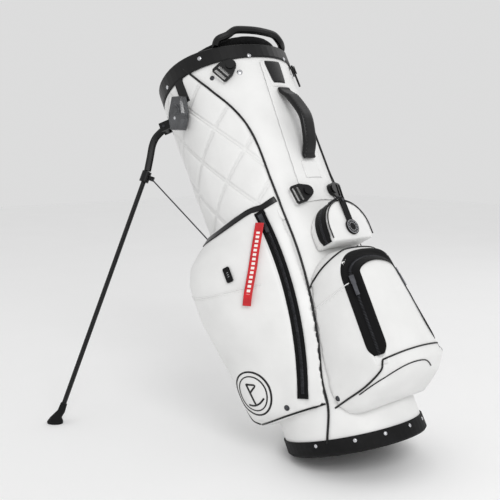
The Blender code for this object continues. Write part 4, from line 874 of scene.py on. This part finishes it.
# Welts, bindings and seams, drawn on the near side and mirrored to the far one; sizes are radii and widths
seamSizes = {"welt": 0.0022, "thin": 0.0019, "ball": 0.0018, "fold": 0.0013, "binding": 0.012, "bindingThick": 0.0012}
spineSeam = [(8, 0.762), (10, 0.703), (12, 0.603), (16, 0.486)]
stitchDrop = 0.005
for word, side in (("near", 1), ("far", -1)):
    def mirrored(marks, side=side, drop=0.0):
        return [(a * side, z - drop) for a, z in marks]
    weltPiece(
        word + "MainWelt", mirrored(mainWelt), allSkins, seamSizes["welt"], "bag", "black_leather", proud=1.0,
        count=160,
    )
    bandPiece(
        word + "PocketBinding", mirrored(pocketSeams["topBinding"]), allSkins, seamSizes["binding"],
        seamSizes["bindingThick"], "bag", "black_leather",
    )
    for name, marks, radius, slot, count in (
        ("PocketBottomWelt", pocketSeams["bottomSeam"], "thin", "black_leather", 80),
        ("PocketBackWelt", pocketSeams["backWelt"], "thin", "black_leather", 90),
        ("BallSideWelt", ballSeams["sideTop"], "ball", "black_leather", 50),
        ("BallLowWelt", ballSeams["lower"], "ball", "black_leather", 50),
        ("CrossSeam", pocketSeams["crossSeam"], "fold", "white_shell", 70),
        ("BallFold", ballSeams["second"], "fold", "white_shell", 50),
    ):
        weltPiece(word + name, mirrored(marks), allSkins, seamSizes[radius], "bag", slot, count=count)
    for name, marks in (("BallFold", ballSeams["second"]), ("CrossSeam", pocketSeams["crossSeam"])):
        rowOfStitches(word + name + "Stitches", mirrored(marks, drop=stitchDrop), allSkins, "bag")
    zipTeeth(word + "ZipTeeth", zipPathOf(-side, 150)[4:-4], "bag")
zipTeeth("ballZipTeeth", ballZipPath(170), "bag", 0.0055, stand=0.0012)
zipTeeth("accessoryZipTeeth", accessoryZipPath(90), "bag", stand=0.0012)
bareTube = treeOf(bagTube)
for word, side in (("near", -1), ("far", 1)):
    weltPiece(
        word + "SpineSeam", [(a * side, z) for a, z in spineSeam], bareTube, 0.0007, "bag", "white_shell", count=60
    )
    rowOfStitches(
        word + "SpineStitches", [((a + 1.3) * side, z) for a, z in spineSeam], bareTube, "bag", pitch=0.006
    )
weltPiece("ballFootWelt", ballSeams["frontFoot"], allSkins, 0.0016, "bag", "black_leather", count=50)
weltPiece("ballUnderWelt", ballSeams["under"], allSkins, 0.0012, "bag", "black_leather", count=50)
print("seams sewn")

facingLook = {"thick": 0.0008, "stand": 0.0006, "probe": 0.012, "probeRun": 0.03, "blunt": 0.15}


def facingPiece(name, path, skin, width, across):  # a folded black tape either side of the teeth
    count = len(path)
    bm = bmesh.new()
    bmesh.ops.create_grid(bm, x_segments=count - 1, y_segments=across, size=0.5)
    rows = []
    step = (path[1][0] - path[0][0]).length
    for i, (point, aside, out) in enumerate(path):
        row = []
        near = min(min(i, count - 1 - i) * step / (width * 0.5) + facingLook["blunt"], 1.0)
        span = width * (near * (2 - near)) ** 0.5  # rounded off at both ends
        for k in range(across + 1):
            place = point + aside * (k / across - 0.5) * span
            hit = skin.ray_cast(place + out * facingLook["probe"], -out, facingLook["probeRun"])[0]
            lift = max((hit - place).dot(out), 0.0) if hit else 0.0
            row.append(place + out * (lift + facingLook["stand"]))
        rows.append(row)
    for k in range(across + 1):
        column = evenOut([row[k] for row in rows], 4)
        for row, point in zip(rows, column):
            row[k] = point
    for vert in bm.verts:
        vert.co = rows[round((vert.co.x + 0.5) * (count - 1))][round((vert.co.y + 0.5) * across)]
    facingOut(bm, path[count // 2][2])
    walled(newPiece(name, bm, "bag", "zip_tape"), facingLook["thick"])


facingPiece("ballZipFacing", ballZipPath(110), treeOf(ballPocket), 0.036, 10)
facingPiece("accessoryZipFacing", accessoryZipPath(60), treeOf(accessoryPocket), 0.030, 8)
rim = {"x": 0.1772, "half": 0.0568, "spring": 0.376, "foot": 0.358, "radius": 0.0013, "steps": 40}
rimPath = [(-rim["half"], rim["foot"])]
for i in range(rim["steps"] + 1):
    turn = pi * i / rim["steps"]
    rimPath.append((-rim["half"] * cos(turn), rim["spring"] + rim["half"] * sin(turn)))
rimPath.append((rim["half"], rim["foot"]))
rimPoints = [leaning @ Vector((rim["x"], y, z)) for y, z in rimPath]
newPiece("accessoryRimWelt", cordMesh(rimPoints, rim["radius"]), "bag", "black_leather")

# The carry handle is a crowned leather grip with two rows of stitches, and the patch sits above it
grip = {"voxel": 0.0022, "stitch": 0.0125, "top": 0.695, "pitch": 0.0030, "count": 50, "soften": 6}
carryHandle = softCopy("carryHandle", "carry_handle", "bag", "black_leather", grip["voxel"])
smoothed = carryHandle.modifiers.new("crown", "SMOOTH")
smoothed.factor, smoothed.iterations = 0.5, grip["soften"]
finer = carryHandle.modifiers.new("finer", "SUBSURF")
finer.levels = finer.render_levels = 1
applied(carryHandle)
carryHandle.data.shade_smooth()
gripSkin = treeOf(carryHandle)


def stitchesOn(name, skin, starts, thread, slot, radius=0.0005, longest=0.008):
    # starts are (across, height) in pairs on a plane off the spine, and each stitch is cast back onto the skin
    bm = bmesh.new()
    hits = [skin.ray_cast(leaning @ Vector((0.26, y, z)), -spineWay)[0] for y, z in starts]
    for a, b in zip(hits[0::2], hits[1::2]):
        if a is None or b is None or (b - a).length > longest:
            continue
        shortRod(bm, (a + b) / 2, b - a, radius, (b - a).length)
    return newPiece(name, bm, "bag", slot, thread)


for side, word in ((-1, "near"), (1, "far")):
    starts = [(side * grip["stitch"], grip["top"] - grip["pitch"] * i) for i in range(grip["count"])]
    stitchesOn(word + "GripStitches", gripSkin, starts, blackThread, "black_leather")

panel = softCopy("spinePanel", "spine_panel", "bag", "white_shell", 0.0012)
panel.data.shade_smooth()


patchLook = {"corner": 0.10, "cornerShare": 0.25, "rimAcross": 0.12, "rimUp": 0.07}
panelRadius = 0.139


def sewnPatch(name, low, high, halfTop, halfFoot, stand, crown, thick, slot, replaces=()):
    bm = bmesh.new()
    bmesh.ops.create_grid(bm, x_segments=24, y_segments=30, size=0.5)
    for vert in bm.verts:
        u, v = vert.co.x * 2, vert.co.y + 0.5
        nearEnd = max(abs(2 * v - 1) - 1 + patchLook["cornerShare"], 0.0) / patchLook["cornerShare"]
        half = (halfFoot + (halfTop - halfFoot) * v) * (1 - patchLook["corner"] * nearEnd)
        across = min(1 - abs(u), patchLook["rimAcross"]) / patchLook["rimAcross"]
        up = min(min(v, 1 - v), patchLook["rimUp"]) / patchLook["rimUp"]
        out = stand + crown * max(across * up, 0.0) ** 0.5
        vert.co = bagPoint(degrees(u * half / panelRadius), low + (high - low) * v, out)
    facingOut(bm, spineWay)
    return walled(newPiece(name, bm, "bag", slot, None, replaces), thick, -1.0)


patchBase = sewnPatch("patchBase", 0.7050, 0.7665, 0.0265, 0.0215, 0.0030, 0.0008, 0.0005, "white_shell")
leatherPatch = sewnPatch(
    "leatherPatch", 0.7135, 0.7640, 0.0215, 0.0165, 0.0046, 0.0014, 0.0012, "black_leather", ("spine_patch",)
)
gripTab = sewnPatch("gripTab", 0.500, 0.5385, 0.0205, 0.0225, 0.0030, 0.0016, 0.0006, "white_shell")
patchSkins = treeOf(patchBase, leatherPatch, gripTab)
patchRows = {
    "patchBaseStitches": [(-0.019 + 0.0021 * i, 0.7082) for i in range(19)],
    "gripTabStitches": [(-0.018 + 0.0021 * i, 0.5345) for i in range(18)],
    "nearGripTabStitches": [(-0.0185, 0.505 + 0.0026 * i) for i in range(12)],
    "farGripTabStitches": [(0.0185, 0.505 + 0.0026 * i) for i in range(12)],
}
for name, starts in patchRows.items():
    stitchesOn(name, patchSkins, starts, whiteThread, "white_shell")
print("handle and patch made")

# The ribbon is one woven strip from the zip pull, hanging plumb down the middle of its CAD stand-in
ribbonSize = {"width": 0.017, "length": 0.160, "columns": 8, "rows": 64, "wave": 0.0012, "cloth": 0.0005}
cadRibbon = bmesh.new()
cadRibbon.from_mesh(nodes["pull_ribbon"].data)
bmesh.ops.remove_doubles(cadRibbon, verts=cadRibbon.verts, dist=1e-5)
corners = sorted((vert.co.copy() for vert in cadRibbon.verts), key=lambda p: -p.z)
cadRibbon.free()
middles, sides = [], []
for i in range(0, len(corners) - 3, 4):
    four = corners[i:i + 4]
    middle = sum(four, Vector()) / 4
    far = max(four, key=lambda p: (p - middle).dot(Vector((1, -0.3, 0))))
    middles.append(middle)
    spread = Vector((far.x - middle.x, far.y - middle.y, 0.0))
    sides.append(spread.normalized())
runs = runsOf(middles)
ribbonMesh = bmesh.new()
bmesh.ops.create_grid(ribbonMesh, x_segments=ribbonSize["columns"], y_segments=ribbonSize["rows"], size=0.5)
flatMap = ribbonMesh.loops.layers.uv.new("flat")
placed = {}
for vert in ribbonMesh.verts:
    u, v = vert.co.x, 0.5 - vert.co.y
    want = v * runs[-1]
    k, share = whereOn(runs, want)
    middle = middles[k].lerp(middles[k + 1], share)
    aside = sides[k].lerp(sides[k + 1], share).normalized()
    out = aside.cross(Vector((0, 0, -1))).normalized()
    if out.y > 0:
        out = -out
    curl = ribbonSize["wave"] * (sin(9 * v) * v + 0.8 * u * sin(5 * v))
    placed[vert] = (u * ribbonSize["width"], want)
    vert.co = middle + aside * u * ribbonSize["width"] + out * curl
for face in ribbonMesh.faces:
    for loop in face.loops:
        loop[flatMap].uv = placed[loop.vert]
facingOut(ribbonMesh, Vector((0, -1, 0)))
redRibbon = newPiece("redRibbon", ribbonMesh, "ribbon", "red_ribbon", None, ("pull_ribbon",))
walled(redRibbon, ribbonSize["cloth"], 0.0)
print("ribbon hung")

# Rivets, snaps and eyelets: kind, skin, angle, height, radius, height of the dome and metal
bootSkin, cuffSkin = treeOf(nodes["base_boot"]), treeOf(nodes["top_cuff"])
bootRivets = {"height": 0.022, "rake": 0.0261, "angles": (-80, -48, -24, 1, 26, 50, 82, 180)}
studs = []
for angle in bootRivets["angles"]:  # the boot is raked, so its rivets rise towards the belly
    z = bootRivets["height"] - bootRivets["rake"] * cos(radians(angle))
    studs.append(("bootRivet", bootSkin, angle, z, 0.0034, 0.0016, brightSteel))
for angle, z in ((20, 0.779), (59, 0.806), (100, 0.800), (150, 0.800)):
    for side in (-1, 1):
        studs.append(("cuffRivet", cuffSkin, side * angle, z, 0.0042, 0.0018, brightSteel))
for side in (-1, 1):
    studs.append(("anchorSnap", allSkins, side * 55, 0.757, 0.0048, 0.0018, None))
    studs.append(("sideEyelet", allSkins, side * 32, 0.749, 0.0058, 0.0016, brightSteel))
    studs.append(("pocketSnap", allSkins, side * 88, 0.099, 0.0055, 0.0022, None))
    studs.append(("ballSnap", allSkins, side * 49, 0.083, 0.0050, 0.0020, None))
for i, (kind, skin, angle, z, radius, height, material) in enumerate(studs):
    place, facing = layOn(skin, angle, z)
    studPiece(f"{kind}{i:02d}", place, facing, radius, height, "bag", material=material)
print("rivets set")

# The printed roundel is a plain pennant in a double ring, inked black
roundel = {
    "angle": -107.0, "height": 0.146, "spread": 1.28, "lift": 0.0003, "ink": 0.0034, "innerShare": 0.7,
    "ring": 0.043, "inner": 0.034,
    "pole": [(-0.004, -0.021), (-0.004, 0.0), (-0.004, 0.022)],
    "pennant": [(-0.004, 0.021), (0.006, 0.0165), (0.016, 0.012), (0.006, 0.0075), (-0.004, 0.003)],
    "green": [(-0.022, -0.016), (-0.012, -0.021), (-0.002, -0.0225), (0.010, -0.021), (0.022, -0.016)],
}


def inkPiece(name, loop, width):
    marks = []
    for x, y in loop:
        marks.append((roundel["angle"] + x / degreeLength / roundel["spread"], roundel["height"] + y))
    bandPiece(
        name, marks, allSkins, width, roundel["lift"], "bag", "black_leather", proud=roundel["lift"],
        count=max(24, len(loop) * 2), across=2,
    )


def ringOf(radius, count=33):
    return [(radius * cos(2 * pi * i / (count - 1)), radius * sin(2 * pi * i / (count - 1))) for i in range(count)]


inkPiece("roundelRing", ringOf(roundel["ring"]), roundel["ink"])
inkPiece("roundelInnerRing", ringOf(roundel["inner"]), roundel["ink"] * roundel["innerShare"])
inkPiece("roundelPole", roundel["pole"], roundel["ink"])
inkPiece("roundelPennant", roundel["pennant"], roundel["ink"])
inkPiece("roundelGreen", roundel["green"], roundel["ink"])


def turnedRing(name, place, facing, radius, tube, body, slot, material=None, flat=0.5, steps=36):
    bm = bmesh.new()
    made = bmesh.ops.create_circle(bm, cap_ends=False, radius=tube, segments=10)
    bmesh.ops.scale(bm, vec=(1, flat, 1), verts=bm.verts)
    bmesh.ops.rotate(bm, matrix=Matrix.Rotation(pi / 2, 3, "X"), verts=bm.verts)
    bmesh.ops.translate(bm, vec=(radius, 0, 0), verts=bm.verts)
    bmesh.ops.spin(
        bm, geom=bm.verts[:] + bm.edges[:], cent=(0, 0, 0), axis=(0, 0, 1), angle=2 * pi, steps=steps, use_merge=True
    )
    bmesh.ops.remove_doubles(bm, verts=bm.verts, dist=1e-6)
    bmesh.ops.recalc_face_normals(bm, faces=bm.faces)
    bmesh.ops.transform(bm, matrix=standing(place, facing), verts=bm.verts)
    return newPiece(name, bm, body, slot, material)


def middleOf(node):
    low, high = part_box(node)
    return (low + high) / 2


# The clip case's raised rings, button and seam
caseLook = {"ringUp": 0.006, "buttonDown": 0.009, "seamHalf": 0.019, "seamRadius": 0.0006}
caseSkin, caseMiddle = treeOf(nodes["clip_case"]), middleOf("clip_case")
caseLocal = upright @ caseMiddle
outFrom = (turnOnly @ Vector((caseLocal.x, caseLocal.y, 0.0))).normalized()
caseFace = caseSkin.ray_cast(caseMiddle + outFrom * 0.1, -outFrom)[0] or caseMiddle
ringPlace = caseFace + Vector((0, 0, caseLook["ringUp"]))
turnedRing("caseRing", ringPlace, outFrom, 0.0125, 0.0009, "hard_case", "smoke_plastic")
turnedRing("caseInnerRing", ringPlace, outFrom, 0.0075, 0.0006, "hard_case", "smoke_plastic")
buttonPlace = caseFace - Vector((0, 0, caseLook["buttonDown"]))
studPiece("caseButton", buttonPlace, outFrom, 0.0034, 0.0016, "hard_case", "smoke_plastic", brightSteel)
acrossCase = outFrom.cross(Vector((0, 0, 1))).normalized()
seamLine = [caseFace + acrossCase * (caseLook["seamHalf"] * (i / 8 - 0.5) * 2) for i in range(9)]
newPiece("caseSeam", cordMesh(seamLine, caseLook["seamRadius"]), "hard_case", "smoke_plastic")

# The pull disc's rings and ticks, printed grey round its centre
discLook = {"radius": 0.0155, "ring": 0.0132, "inner": 0.0082, "tick": 0.0094, "tickStep": 0.0012, "ticks": 12}
# the grey ink is made with the thread finish, so it carries the same painted highlight specks
greyInk = sewingThread("printedGreyInk", "#8E8F92", "#A9AAAD")
discSkin = treeOf(nodes["pull_disc"])
lowest = min((upright @ vert.co for vert in nodes["pull_disc"].data.vertices), key=lambda p: p.z)
discCentre = Vector((lowest.x, 0.0, lowest.z + discLook["radius"]))
discFace = discSkin.ray_cast(leaning @ (discCentre + Vector((0.05, 0, 0))), -spineWay)[0] or leaning @ discCentre
turnedRing("discRing", discFace, spineWay, discLook["ring"], 0.0007, "disc", "rubber_sole", greyInk)
turnedRing("discInnerRing", discFace, spineWay, discLook["inner"], 0.0005, "disc", "rubber_sole", greyInk)
for i in range(discLook["ticks"]):
    turn = 2 * pi * i / discLook["ticks"]
    aside = turnOnly @ Vector((0, cos(turn), sin(turn)))
    line = [discFace + aside * (discLook["tick"] + discLook["tickStep"] * k) for k in range(3)]
    newPiece(f"discTick{i:02d}", cordMesh(line, 0.0005), "disc", "rubber_sole", greyInk)

# Three plain bars on the badge
badge = {"bars": (-0.004, 0.0, 0.004), "half": 0.0028, "radius": 0.0007, "sideways": 0.4}
badgeMiddle = middleOf("pocket_badge")
badgeLocal = upright @ badgeMiddle
badgeOut = (turnOnly @ Vector((badgeLocal.x * badge["sideways"], badgeLocal.y, 0.0))).normalized()
badgeSkin = treeOf(nodes["pocket_badge"])
badgeFace = badgeSkin.ray_cast(badgeMiddle + badgeOut * 0.05, -badgeOut)[0] or badgeMiddle
badgeUp = turnOnly @ Vector((0, 0, 1))
badgeSide = badgeUp.cross(badgeOut).normalized()
for i, rise in enumerate(badge["bars"]):
    line = [badgeFace + badgeUp * rise + badgeSide * (badge["half"] * (k - 1)) for k in range(3)]
    newPiece(f"badgeBar{i}", cordMesh(line, badge["radius"]), "bag", "rubber_sole", greyInk)
